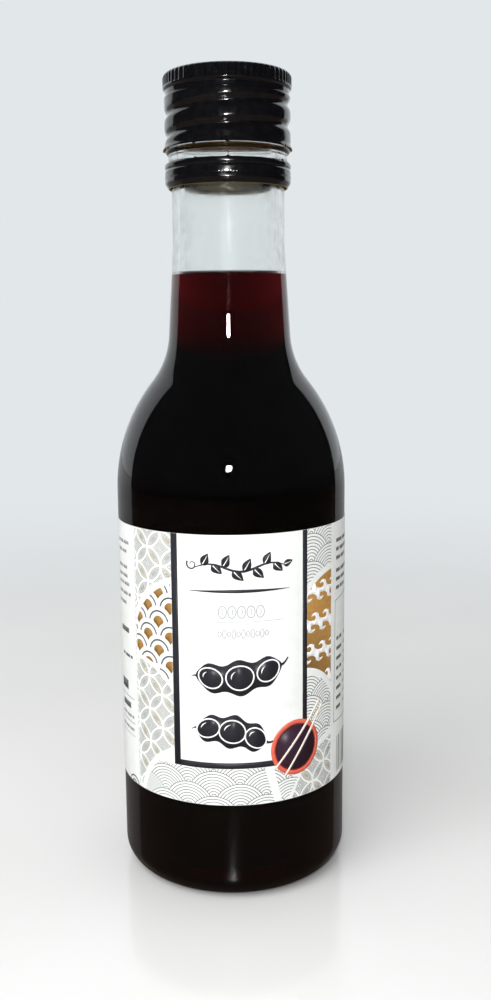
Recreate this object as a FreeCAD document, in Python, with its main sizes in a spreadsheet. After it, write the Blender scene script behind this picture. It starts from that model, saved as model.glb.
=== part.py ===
"""A 250 ml bottle of soy sauce: clear glass, the sauce in it, a rolled aluminium closure with its
broken tamper band, and a paper label wrapped round the body.

Millimetres, +Z up.  The origin is the middle of the base, on the surface the bottle stands on, and
the label faces -Y.
"""

import FreeCAD, Part
import math
import os

import Sketcher

DOCUMENT_NAME = "SoySauceBottle"
SHEET_NAME = "Sizes"
ORIGIN = (-1, 1)
H_AXIS = -1
V_AXIS = -2
START, END, CENTRE = 1, 2, 3
CORNER_STEPS = 4

# alias: (value, what it measures)
DRIVING_SIZES = {
    "body_radius": (29.0, "outside of the straight body"),
    "shoulder_start": (98.9, "height at which the body begins to curve in"),
    "shoulder_radius": (43.0, "round of the shoulder"),
    "shoulder_blend": (20.0, "hollow round between shoulder and neck"),
    "flare_rise": (59.7, "from the shoulder's start to the foot of the straight neck"),
    "neck_taper": (3.7, "lean of the neck's foot from upright, degrees"),
    "neck_radius": (13.8, "outside of the straight neck"),
    "neck_length": (13.7, "straight neck that shows below the tamper band"),
    "wall": (3.0, "glass wall"),
    "base_thickness": (5.5, "glass under the sauce"),
    "heel_radius": (6.0, "round between the body and the base"),
    "bearing_width": (4.0, "flat ring that the bottle stands on"),
    "punt_depth": (2.5, "rise of the domed base"),
    "collar_step": (0.7, "thicker glass under the closure's broken edge, out from the neck"),
    "collar_lift": (1.4, "from the band's lower edge to the collar's foot"),
    "lock_reach": (1.1, "bead that the tamper band grips, out from the neck"),
    "lock_round": (1.5, "round of that bead"),
    "lock_lift": (3.0, "from the band's lower edge to the middle of that bead"),
    "lip_bead_reach": (1.4, "glass bead under the cap's edge, out from the neck"),
    "lip_bead_round": (0.9, "round of that bead"),
    "lip_bead_drop": (0.3, "from the cap's edge down to the middle of that bead"),
    "thread_reach": (0.95, "glass thread, out from the neck"),
    "thread_clearance": (0.35, "between the glass thread and the skirt's inside"),
    "thread_round": (1.0, "round of the glass thread"),
    "thread_pitch": (5.0, "rise of one turn"),
    "thread_rise": (7.0, "from the start to the end of the rolled thread"),
    "thread_lift": (2.9, "from the cap's edge to the first turn of its groove"),
    "sheet": (0.25, "aluminium sheet"),
    "cap_height": (17.6, "cap above its broken edge"),
    "cap_corner": (1.2, "round of the cap's top edge"),
    "knurl_step": (0.25, "knurled grip, out from the skirt"),
    "knurl_height": (3.5, "knurled grip, from the top"),
    "flute_depth": (0.22, "depth of one flute of the grip"),
    "flute_round": (0.6, "round of one flute"),
    "flute_count": (64, "flutes round the grip"),
    "waist_depth": (0.35, "narrow rolled ring under the grip, in from the skirt"),
    "waist_height": (1.2, "height of that ring"),
    "waist_slope": (0.45, "height of the slopes into and out of that ring"),
    "groove_depth": (0.75, "depth of the rolled thread"),
    "groove_round": (1.4, "round of the rolled thread"),
    "edge_step": (0.4, "flared broken edge of the cap, out from the skirt"),
    "edge_flare": (1.1, "height of that flare"),
    "break_gap": (3.3, "gap between the cap's edge and the tamper band"),
    "band_height": (5.75, "tamper band"),
    "band_clearance": (0.25, "between the band and the bead that it grips"),
    "tuck_clearance": (0.3, "between the neck and the band's lower edge, tucked under that bead"),
    "band_tuck_height": (1.4, "height of that tuck"),
    "band_curl_height": (1.0, "rolled edge at the band's top"),
    "band_crease": (0.25, "depth of the crease under the rolled edge"),
    "seat_clearance": (0.1, "between the mouth and the cap's underside"),
    "sauce_height": (151.8, "level of the sauce above the base"),
    "sauce_clearance": (0.1, "between the sauce and the glass"),
    "label_foot": (25.2, "from the base to the label's lower edge"),
    "label_shoulder_margin": (7.2, "from the label's upper edge to the shoulder"),
    "label_thickness": (0.12, "paper and its glue"),
    "label_clearance": (0.03, "between the glass and the paper"),
    "label_seam": (4.0, "bare glass between the label's ends, round the body"),
}


class Size:
    """A length that carries both its number and the expression that binds it to the sheet."""

    def __init__(self, value, text):
        self.value = value
        self.text = text

    def __add__(self, other):
        other = as_size(other)
        return Size(self.value + other.value, f"({self.text} + {other.text})")

    def __sub__(self, other):
        other = as_size(other)
        return Size(self.value - other.value, f"({self.text} - {other.text})")

    def __mul__(self, other):
        other = as_size(other)
        return Size(self.value * other.value, f"({self.text} * {other.text})")

    def __truediv__(self, other):
        other = as_size(other)
        return Size(self.value / other.value, f"({self.text} / {other.text})")


def as_size(value):
    """A plain number as a Size; a Size as it is."""
    return value if isinstance(value, Size) else Size(value, f"{value}")


def make_sheet(document):
    """The spreadsheet of driving sizes; returns each alias as a Size."""
    sheet = document.addObject("Spreadsheet::Sheet", SHEET_NAME)
    sizes = {}
    for row, (alias, (value, meaning)) in enumerate(DRIVING_SIZES.items(), start=1):
        sheet.set(f"A{row}", alias)
        sheet.set(f"B{row}", str(value))
        sheet.set(f"C{row}", meaning)
        sheet.setAlias(f"B{row}", alias)
        sizes[alias] = Size(value, f"{SHEET_NAME}.{alias}")
    document.recompute()
    return sizes


class Outline:
    """A sketch on the XZ plane of a body: x is the radius from the bottle's axis, y the height."""

    def __init__(self, body, name, plane_role="XZ_Plane"):
        self.sketch = body.newObject("Sketcher::SketchObject", name)
        plane = next(item for item in body.Origin.OriginFeatures if item.Role == plane_role)
        self.sketch.AttachmentSupport = [(plane, "")]
        self.sketch.MapMode = "FlatFace"

    def line(self, start, end):
        """A straight edge between two (radius, height) points; returns its index."""
        a = FreeCAD.Vector(start[0], start[1], 0)
        b = FreeCAD.Vector(end[0], end[1], 0)
        return self.sketch.addGeometry(Part.LineSegment(a, b), False)

    def arc(self, centre, radius, first, last):
        """An arc anticlockwise between two angles in radians; returns its index."""
        middle = FreeCAD.Vector(centre[0], centre[1], 0)
        circle = Part.Circle(middle, FreeCAD.Vector(0, 0, 1), radius)
        return self.sketch.addGeometry(Part.ArcOfCircle(circle, first, last), False)

    def circle(self, centre, radius):
        """A full circle whose centre and radius are Sizes; returns its index."""
        middle = FreeCAD.Vector(centre[0].value, centre[1].value, 0)
        round_edge = Part.Circle(middle, FreeCAD.Vector(0, 0, 1), radius.value)
        index = self.sketch.addGeometry(round_edge, False)
        self.place(index, CENTRE, centre)
        self.measure("Radius", radius, index)
        return index

    def tie(self, kind, *items):
        """A constraint with no measure of its own."""
        self.sketch.addConstraint(Sketcher.Constraint(kind, *items))

    def measure(self, kind, size, *items):
        """A constraint whose measure is bound to the sheet."""
        index = self.sketch.addConstraint(Sketcher.Constraint(kind, *items, size.value))
        self.sketch.setExpression(f"Constraints[{index}]", size.text)

    def place(self, geometry, end, point):
        """Holds one end of an edge at a (radius, height) pair of Sizes."""
        radius, height = as_size(point[0]), as_size(point[1])
        if radius.value == 0:
            self.tie("PointOnObject", geometry, end, V_AXIS)
        elif radius.value < 0:
            self.measure("DistanceX", Size(-radius.value, f"-{radius.text}"), geometry, end, *ORIGIN)
        else:
            self.measure("DistanceX", radius, *ORIGIN, geometry, end)
        if height.value == 0:
            self.tie("PointOnObject", geometry, end, H_AXIS)
        else:
            self.measure("DistanceY", height, *ORIGIN, geometry, end)

    def polygon(self, corners):
        """A closed run of straight edges through (radius, height) pairs of Sizes."""
        corners = [(as_size(radius), as_size(height)) for radius, height in corners]
        plain = [(radius.value, height.value) for radius, height in corners]
        edges = []
        for index, start in enumerate(plain):
            edges.append(self.line(start, plain[(index + 1) % len(plain)]))
        for index, corner in enumerate(corners):
            self.tie("Coincident", edges[index - 1], END, edges[index], START)
            self.place(edges[index], START, corner)
        return edges


def new_body(document, label):
    """An empty body with its own Label and Placement."""
    body = document.addObject("PartDesign::Body", label)
    body.Label = label
    body.Placement = FreeCAD.Placement()
    return body


def revolve(body, outline, name, turn=360.0):
    """A revolution of an outline about the bottle's axis."""
    feature = body.newObject("PartDesign::Revolution", name)
    feature.Profile = outline.sketch
    feature.ReferenceAxis = (outline.sketch, ["V_Axis"])
    feature.Angle = turn
    return feature


def blend_place(corner, taper, shoulder_centre, shoulder_radius, blend_radius):
    """Where the hollow round touches both the neck's foot and the shoulder.

    Returns its centre, its point on the neck's foot and its point on the shoulder.
    """
    down = (math.sin(taper), -math.cos(taper))
    outward = (math.cos(taper), math.sin(taper))
    start = [corner[i] + blend_radius * outward[i] for i in range(2)]
    away = [start[i] - shoulder_centre[i] for i in range(2)]
    reach = shoulder_radius + blend_radius
    along = away[0] * down[0] + away[1] * down[1]
    travel = -along - math.sqrt(along**2 - away[0] ** 2 - away[1] ** 2 + reach**2)
    centre = [start[i] + travel * down[i] for i in range(2)]
    on_neck = [centre[i] - blend_radius * outward[i] for i in range(2)]
    share = shoulder_radius / reach
    on_shoulder = [shoulder_centre[i] + share * (centre[i] - shoulder_centre[i]) for i in range(2)]
    return centre, on_neck, on_shoulder


def vessel_form(document, sizes, label, inset, floor, top):
    """The bottle's outline turned solid, drawn in by inset, from floor up to top.

    The glass, the hollow in it and the sauce are all this form with their own inset.
    """
    body = new_body(document, label)
    outline = Outline(body, f"{label}_outline")
    radius = sizes["body_radius"] - inset
    heel = sizes["heel_radius"]
    ring_outer = radius - heel
    ring_inner = ring_outer - sizes["bearing_width"]
    punt = sizes["punt_depth"]
    shoulder_radius = sizes["shoulder_radius"] - inset
    blend_radius = sizes["shoulder_blend"] + inset
    neck = sizes["neck_radius"] - inset
    neck_start = sizes["shoulder_start"] + sizes["flare_rise"]
    taper = math.radians(sizes["neck_taper"].value)

    dome_radius = (ring_inner.value**2 + punt.value**2) / (2 * punt.value)
    dome_centre = (0.0, floor.value + punt.value - dome_radius)
    dome_angle = math.atan2(floor.value - dome_centre[1], ring_inner.value)
    dome = outline.arc(dome_centre, dome_radius, dome_angle, math.pi / 2)
    ring = outline.line((ring_inner.value, floor.value), (ring_outer.value, floor.value))
    heel_centre = (ring_outer.value, floor.value + heel.value)
    heel_arc = outline.arc(heel_centre, heel.value, -math.pi / 2, 0.0)
    shoulder_start = sizes["shoulder_start"]
    side = outline.line((radius.value, heel_centre[1]), (radius.value, shoulder_start.value))
    shoulder_centre = (radius.value - shoulder_radius.value, shoulder_start.value)
    corner = (neck.value, neck_start.value)
    centre, on_neck, on_shoulder = blend_place(
        corner, taper, shoulder_centre, shoulder_radius.value, blend_radius.value
    )
    lean = math.atan2(on_shoulder[1] - shoulder_centre[1], on_shoulder[0] - shoulder_centre[0])
    shoulder = outline.arc(shoulder_centre, shoulder_radius.value, 0.0, lean)
    blend = outline.arc(centre, blend_radius.value, math.pi + taper, math.pi + lean)
    foot = outline.line(on_neck, corner)
    neck_side = outline.line(corner, (neck.value, top.value))
    lid = outline.line((neck.value, top.value), (0.0, top.value))
    axis = outline.line((0.0, top.value), (0.0, floor.value + punt.value))

    outline.tie("Coincident", dome, START, ring, START)
    outline.tie("PointOnObject", dome, CENTRE, V_AXIS)
    outline.tie("Tangent", ring, END, heel_arc, START)
    outline.tie("Tangent", heel_arc, END, side, START)
    outline.tie("Tangent", side, END, shoulder, START)
    outline.tie("Tangent", shoulder, END, blend, END)
    outline.tie("Tangent", blend, START, foot, START)
    outline.tie("Coincident", foot, END, neck_side, START)
    outline.tie("Vertical", neck_side)
    outline.tie("Coincident", neck_side, END, lid, START)
    outline.tie("Coincident", lid, END, axis, START)
    outline.tie("Coincident", axis, END, dome, END)
    outline.tie("Horizontal", lid)
    outline.tie("Horizontal", ring)
    outline.tie("Vertical", side)
    outline.place(dome, END, (0, floor + punt))
    outline.place(ring, START, (ring_inner, floor))
    outline.measure("DistanceX", ring_outer, *ORIGIN, ring, END)
    outline.measure("Radius", heel, heel_arc)
    outline.measure("DistanceY", shoulder_start, *ORIGIN, side, END)
    outline.measure("Radius", shoulder_radius, shoulder)
    outline.measure("Radius", blend_radius, blend)
    outline.place(foot, END, (neck, neck_start))
    upright = Size(math.pi / 2 + taper, f"(90 + {sizes['neck_taper'].text}) * 1 deg")
    outline.measure("Angle", upright, foot)
    outline.place(lid, END, (0, top))
    revolve(body, outline, f"{label}_turned")
    return body


def add_bead(body, name, reach, nose, middle, root):
    """A ring of glass with a half-round nose, standing out from the neck to reach."""
    outline = Outline(body, f"{name}_outline")
    centre = (reach - nose, middle)
    low, high = middle - nose, middle + nose
    inner_low = (root.value, low.value)
    inner_high = (root.value, high.value)
    outer_low = (centre[0].value, low.value)
    outer_high = (centre[0].value, high.value)
    floor = outline.line(inner_low, outer_low)
    round_nose = outline.arc((centre[0].value, middle.value), nose.value, -math.pi / 2, math.pi / 2)
    roof = outline.line(outer_high, inner_high)
    back = outline.line(inner_high, inner_low)
    outline.tie("Tangent", floor, END, round_nose, START)
    outline.tie("Tangent", round_nose, END, roof, START)
    outline.tie("Coincident", roof, END, back, START)
    outline.tie("Coincident", back, END, floor, START)
    outline.tie("Vertical", back)
    outline.place(round_nose, CENTRE, centre)
    outline.measure("Radius", nose, round_nose)
    outline.measure("DistanceX", root, *ORIGIN, back, START)
    outline.tie("Horizontal", floor)
    return revolve(body, outline, name)


def add_helix(body, name, kind, centre, section_round, pitch, turns):
    """A right-handed screw thread: a round section swept up about the bottle's axis."""
    outline = Outline(body, f"{name}_section")
    outline.circle(centre, section_round)
    feature = body.newObject(kind, name)
    feature.Profile = outline.sketch
    feature.ReferenceAxis = (outline.sketch, ["V_Axis"])
    feature.Mode = "pitch-turns-angle"
    feature.LeftHanded = False
    feature.setExpression("Pitch", pitch.text)
    feature.setExpression("Turns", turns.text)
    return feature


def skirt_radius(sizes):
    """Outside of the cap's skirt: the glass thread, its clearance and the sheet."""
    reach = sizes["neck_radius"] + sizes["thread_reach"]
    return reach + sizes["thread_clearance"] + sizes["sheet"]


def closure_heights(sizes):
    """Heights of the band, the gap and the cap, stacked up from the neck."""
    band_foot = sizes["shoulder_start"] + sizes["flare_rise"] + sizes["neck_length"]
    band_top = band_foot + sizes["band_height"]
    cap_edge = band_top + sizes["break_gap"]
    cap_top = cap_edge + sizes["cap_height"]
    return band_foot, band_top, cap_edge, cap_top


def make_bottle(document, sizes):
    """The glass: its outside with the finish's beads and thread, less the hollow."""
    band_foot, _, cap_edge, cap_top = closure_heights(sizes)
    mouth = cap_top - sizes["sheet"] - sizes["seat_clearance"]
    nothing = as_size(0.0)
    outside = vessel_form(document, sizes, "glass_outside", nothing, nothing, mouth)
    neck = sizes["neck_radius"]
    root = neck - sizes["wall"] / 2
    collar_radius = neck + sizes["collar_step"]
    collar_foot = band_foot + sizes["collar_lift"]
    lip_bead_middle = cap_edge - sizes["lip_bead_drop"]
    collar = Outline(outside, "collar_outline")
    collar.polygon(
        [
            (root, collar_foot - (collar_radius - root)),
            (collar_radius, collar_foot),
            (collar_radius, lip_bead_middle),
            (root, lip_bead_middle),
        ]
    )
    revolve(outside, collar, "collar")
    lock_middle = band_foot + sizes["lock_lift"]
    lock_reach = neck + sizes["lock_reach"]
    add_bead(outside, "lock_bead", lock_reach, sizes["lock_round"], lock_middle, root)
    lip_reach = neck + sizes["lip_bead_reach"]
    add_bead(outside, "lip_bead", lip_reach, sizes["lip_bead_round"], lip_bead_middle, root)
    thread_middle = neck + sizes["thread_reach"] - sizes["thread_round"]
    thread_foot = cap_edge + sizes["thread_lift"] + sizes["thread_pitch"] / 2
    thread = add_helix(
        outside,
        "glass_thread",
        "PartDesign::AdditiveHelix",
        (thread_middle * -1, thread_foot),
        sizes["thread_round"],
        sizes["thread_pitch"],
        sizes["thread_rise"] / sizes["thread_pitch"] - 0.5,
    )
    outside.Tip = thread

    hollow = vessel_form(
        document, sizes, "glass_hollow", sizes["wall"], sizes["base_thickness"], mouth + 1
    )
    bottle = document.addObject("Part::Cut", "glass_bottle")
    bottle.Base = outside
    bottle.Tool = hollow
    return bottle


def make_sauce(document, sizes):
    """The sauce: the hollow's form, a hair smaller, up to its level."""
    inset = sizes["wall"] + sizes["sauce_clearance"]
    floor = sizes["base_thickness"] + sizes["sauce_clearance"]
    _, _, _, cap_top = closure_heights(sizes)
    form = vessel_form(document, sizes, "sauce_form", inset, floor, cap_top)
    level = document.addObject("Part::Cylinder", "sauce_level")
    level.setExpression("Radius", sizes["body_radius"].text)
    level.setExpression("Height", sizes["sauce_height"].text)
    sauce = document.addObject("Part::Common", "soy_sauce")
    sauce.Base = form
    sauce.Tool = level
    return sauce


def cap_form(document, sizes, label, inset, grip_inset, below):
    """The cap's outline turned solid, drawn in by inset, with the rolled thread in its side."""
    _, _, cap_edge, cap_top = closure_heights(sizes)
    body = new_body(document, label)
    outline = Outline(body, f"{label}_outline")
    corner = sizes["cap_corner"]
    skirt_outside = skirt_radius(sizes)
    grip = skirt_outside + sizes["knurl_step"] - grip_inset
    top = cap_top - inset
    grip_foot = cap_top - sizes["knurl_height"]
    slope = sizes["waist_slope"]
    waist_top = grip_foot - slope
    waist_foot = waist_top - sizes["waist_height"]
    waist = skirt_outside - sizes["waist_depth"] - inset
    skirt = skirt_outside - inset
    edge = skirt_outside + sizes["edge_step"] - inset
    corners = [(0, cap_edge - below), (edge, cap_edge - below)]
    if below.value > 0:
        corners.append((edge, cap_edge))
    corners += [
        (skirt, cap_edge + sizes["edge_flare"]),
        (skirt, waist_foot - slope),
        (waist, waist_foot),
        (waist, waist_top),
        (grip, grip_foot),
    ]
    for step in range(CORNER_STEPS + 1):
        angle = math.pi / 2 * step / CORNER_STEPS
        in_from_side = corner * (1 - math.cos(angle))
        down_from_top = corner * (1 - math.sin(angle))
        corners.append((grip - in_from_side, top - down_from_top))
    corners.append((0, top))
    outline.polygon(corners)
    revolve(body, outline, f"{label}_turned")
    centre = (skirt_outside - sizes["groove_depth"] + sizes["groove_round"]) * -1
    groove = add_helix(
        body,
        f"{label}_rolled_thread",
        "PartDesign::SubtractiveHelix",
        (centre, cap_edge + sizes["thread_lift"]),
        sizes["groove_round"] + inset,
        sizes["thread_pitch"],
        sizes["thread_rise"] / sizes["thread_pitch"],
    )
    body.Tip = groove
    return body


def flute_grip(document, body, sizes):
    """Cuts the upright flutes round the cap's grip."""
    _, _, _, cap_top = closure_heights(sizes)
    section = Outline(body, "flute_section", "XY_Plane")
    grip = skirt_radius(sizes) + sizes["knurl_step"]
    middle = grip - sizes["flute_depth"] + sizes["flute_round"]
    section.circle((middle, as_size(0.0)), sizes["flute_round"])
    section.sketch.setExpression("AttachmentOffset.Base.z", cap_top.text)
    document.recompute()
    flute = body.newObject("PartDesign::Pocket", "flute")
    flute.Profile = section.sketch
    flute.setExpression("Length", sizes["knurl_height"].text)
    flutes = body.newObject("PartDesign::PolarPattern", "flutes")
    flutes.Originals = [flute]
    flutes.Axis = (section.sketch, ["N_Axis"])
    flutes.Angle = 360
    flutes.setExpression("Occurrences", sizes["flute_count"].text)
    body.Tip = flutes


def make_cap(document, sizes):
    """The cap: a thin rolled shell, open below."""
    nothing = as_size(0.0)
    sheet = sizes["sheet"]
    outside = cap_form(document, sizes, "cap_outside", nothing, nothing, nothing)
    flute_grip(document, outside, sizes)
    grip_inset = sizes["flute_depth"] + sheet
    inside = cap_form(document, sizes, "cap_inside", sheet, grip_inset, as_size(1.0))
    cap = document.addObject("Part::Cut", "cap_shell")
    cap.Base = outside
    cap.Tool = inside
    return cap


def make_band(document, sizes):
    """The tamper band: a thin ring, tucked in below and rolled over above."""
    band_foot, band_top, _, _ = closure_heights(sizes)
    band = new_body(document, "tamper_band")
    outline = Outline(band, "band_outline")
    neck, sheet = sizes["neck_radius"], sizes["sheet"]
    outer = neck + sizes["lock_reach"] + sizes["band_clearance"] + sheet
    tuck = neck + sizes["tuck_clearance"] + sheet
    crease, curl = sizes["band_crease"], sizes["band_curl_height"]
    shoulder = band_foot + sizes["band_tuck_height"]
    side = [
        (tuck, band_foot),
        (outer, shoulder),
        (outer, band_top - curl * 2),
        (outer - crease, band_top - curl * 1.5),
        (outer, band_top - curl),
        (outer, band_top - curl / 2),
        (outer - crease, band_top),
    ]
    inside = [(radius - sheet, height) for radius, height in reversed(side)]
    outline.polygon(side + inside)
    revolve(band, outline, "band_turned")
    return band


def make_label(document, sizes):
    """The paper label: a wrap round the body with a bare strip of glass at the back."""
    label = new_body(document, "label")
    outline = Outline(label, "label_outline")
    inner = sizes["body_radius"] + sizes["label_clearance"]
    outer = inner + sizes["label_thickness"]
    foot = sizes["label_foot"]
    head = sizes["shoulder_start"] - sizes["label_shoulder_margin"]
    outline.polygon([(inner, foot), (outer, foot), (outer, head), (inner, head)])
    wrap = revolve(label, outline, "label_wrap")
    seam_angle = sizes["label_seam"] / sizes["body_radius"] * (180 / math.pi)
    wrap.setExpression("Angle", (as_size(360.0) - seam_angle).text)
    turn = as_size(90.0) + seam_angle / 2
    label.Placement = FreeCAD.Placement(
        FreeCAD.Vector(0, 0, 0), FreeCAD.Rotation(FreeCAD.Vector(0, 0, 1), turn.value)
    )
    label.setExpression("Placement.Rotation.Angle", turn.text)
    return label


def check(document, pieces):
    """Stops if any feature failed or any piece isn't one sound solid."""
    for item in document.Objects:
        if "Invalid" in item.State or "Error" in item.State:
            raise RuntimeError(f"{item.Name} failed: {item.State}")
    for piece in pieces:
        shape = piece.Shape
        if shape.isNull() or not shape.isValid():
            raise RuntimeError(f"{piece.Label} has no valid shape")
        if len(shape.Solids) != 1:
            raise RuntimeError(f"{piece.Label} has {len(shape.Solids)} solids")


def write(pieces):
    """Writes each piece to parts/LABEL.step."""
    os.makedirs("parts", exist_ok=True)
    for piece in pieces:
        piece.Shape.exportStep(os.path.join("parts", f"{piece.Label}.step"))
        box = piece.Shape.BoundBox
        print(
            f"{piece.Label}: {piece.Shape.Volume / 1000:.2f} cm3,"
            f" radius {box.XMax:.2f}, height {box.ZMin:.2f} to {box.ZMax:.2f}"
        )


def main():
    document = FreeCAD.newDocument(DOCUMENT_NAME)
    sizes = make_sheet(document)
    pieces = [
        make_bottle(document, sizes),
        make_sauce(document, sizes),
        make_cap(document, sizes),
        make_band(document, sizes),
        make_label(document, sizes),
    ]
    document.recompute()
    check(document, pieces)
    write(pieces)


main()
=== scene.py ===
"""Looks of a 250 ml bottle of soy sauce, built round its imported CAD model.

The clear glass, the sauce, the rolled aluminium closure, the tamper band and the printed paper
label are each modelled here in the CAD's own frame: Z up, the origin under the middle of the base
and the label facing -Y.  Sizes are in millimetres and become metres as each mesh is made.
"""

import logging
import math
import random
from dataclasses import dataclass, field
from enum import Enum
from typing import Callable, Sequence

import bpy
from mathutils import Matrix, Vector

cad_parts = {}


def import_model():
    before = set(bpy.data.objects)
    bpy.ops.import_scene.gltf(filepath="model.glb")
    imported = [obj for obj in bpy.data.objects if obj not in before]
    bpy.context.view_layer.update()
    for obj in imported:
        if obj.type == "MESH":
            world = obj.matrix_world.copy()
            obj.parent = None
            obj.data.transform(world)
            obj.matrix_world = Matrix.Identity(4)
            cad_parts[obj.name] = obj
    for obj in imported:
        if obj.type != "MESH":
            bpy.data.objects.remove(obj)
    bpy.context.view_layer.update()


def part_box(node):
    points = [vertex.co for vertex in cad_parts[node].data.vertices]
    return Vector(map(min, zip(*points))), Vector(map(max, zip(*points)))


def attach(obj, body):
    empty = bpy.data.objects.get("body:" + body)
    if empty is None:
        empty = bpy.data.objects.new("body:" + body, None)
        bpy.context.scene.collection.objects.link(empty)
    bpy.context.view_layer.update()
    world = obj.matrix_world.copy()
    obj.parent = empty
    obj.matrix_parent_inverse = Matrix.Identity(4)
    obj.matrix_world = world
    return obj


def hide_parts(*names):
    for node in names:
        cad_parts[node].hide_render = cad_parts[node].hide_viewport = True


MM = 0.001
FRONT = -math.pi / 2
LOG = logging.getLogger("soy_sauce_bottle")

Point = tuple[float, float]
Span = tuple[float, float]
Colour = tuple[float, float, float, float]


def srgb(red: int, green: int, blue: int) -> Colour:
    """A display colour, 0 to 255, as scene-linear red, green, blue and alpha.

    Args:
        red: Red, 0 to 255.
        green: Green, 0 to 255.
        blue: Blue, 0 to 255.

    Returns:
        The linear colour, opaque.
    """

    def linear(channel: int) -> float:
        """One channel, made linear."""
        share = channel / 255
        return share / 12.92 if share <= 0.04045 else ((share + 0.055) / 1.055) ** 2.4

    return linear(red), linear(green), linear(blue), 1.0


def ease(low: float, high: float, value: float) -> float:
    """A smooth step from 0 at low to 1 at high.

    Args:
        low: Where the step begins.
        high: Where it ends; it may be less than low.
        value: The place to read.

    Returns:
        A share from 0 to 1 with level ends.
    """
    share = min(1.0, max(0.0, (value - low) / (high - low)))
    return share * share * (3 - 2 * share)


def arc(centre: Point, radius: float, first: float, last: float, steps: int) -> list[Point]:
    """Points along a circular arc.

    Args:
        centre: The circle's centre.
        radius: Its radius.
        first: The angle of the first point, in radians.
        last: The angle of the last point, in radians.
        steps: How many pieces the arc is cut into.

    Returns:
        The points, both ends included.
    """
    turns = [first + (last - first) * step / steps for step in range(steps + 1)]
    return [(centre[0] + radius * math.cos(a), centre[1] + radius * math.sin(a)) for a in turns]


def line(start: Point, end: Point, steps: int) -> list[Point]:
    """Evenly spaced points along a straight line.

    Args:
        start: The first point.
        end: The last point.
        steps: How many pieces the line is cut into.

    Returns:
        The points, both ends included.
    """
    return [
        (start[0] + (end[0] - start[0]) * n / steps, start[1] + (end[1] - start[1]) * n / steps)
        for n in range(steps + 1)
    ]


def oval(centre: Point, across: float, up: float, steps: int) -> list[Point]:
    """Points round an oval, each once.

    Args:
        centre: Its centre.
        across: Half its width.
        up: Half its height.
        steps: How many points it has.

    Returns:
        The points.
    """
    turns = [math.tau * step / steps for step in range(steps)]
    return [(centre[0] + across * math.cos(a), centre[1] + up * math.sin(a)) for a in turns]


def laid(origin: Point, turn: float, along: float, off: float) -> Point:
    """A place that is given in turned axes.

    Args:
        origin: Where the turned axes start.
        turn: Their turn, in radians.
        along: Place along the first axis.
        off: Place along the second.

    Returns:
        The place in the label's own axes.
    """
    ahead, aside = math.cos(turn), math.sin(turn)
    return origin[0] + along * ahead - off * aside, origin[1] + along * aside + off * ahead


# ---------------------------------------------------------------- shader building


Feeds = dict[str | int, object]


class Wiring:
    """Adds shader nodes to one tree and joins them."""

    def __init__(self, tree: bpy.types.NodeTree) -> None:
        """Starts with an empty tree.

        Args:
            tree: The tree, whose own nodes are cleared.
        """
        self.tree = tree
        tree.nodes.clear()

    def add(self, kind: str, feeds: Feeds | None = None, **settings: object) -> bpy.types.Node:
        """Adds a node.

        Args:
            kind: The node's type name.
            feeds: What its inputs take, by name or number: an output to link or a plain value.
            settings: Attributes to set on it.

        Returns:
            The new node.
        """
        node = self.tree.nodes.new(kind)
        for name, value in settings.items():
            setattr(node, name, value)
        for name, value in (feeds or {}).items():
            if isinstance(value, bpy.types.NodeSocket):
                self.join(value, node.inputs[name])
            else:
                node.inputs[name].default_value = value
        return node

    def join(self, source: bpy.types.NodeSocket, target: bpy.types.NodeSocket) -> None:
        """Links an output to an input.

        Args:
            source: The output.
            target: The input.
        """
        self.tree.links.new(source, target)


def new_material(name: str) -> tuple[bpy.types.Material, Wiring]:
    """Makes an empty material.

    Args:
        name: Its name.

    Returns:
        The material and its wiring.
    """
    made = bpy.data.materials.new(name)
    made.use_nodes = True
    return made, Wiring(made.node_tree)


class Effect(Enum):
    """Node groups that several materials share."""

    MOTTLE = "surface_mottle"
    RELIEF = "fine_relief"
    TINT = "tone_drift"


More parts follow.
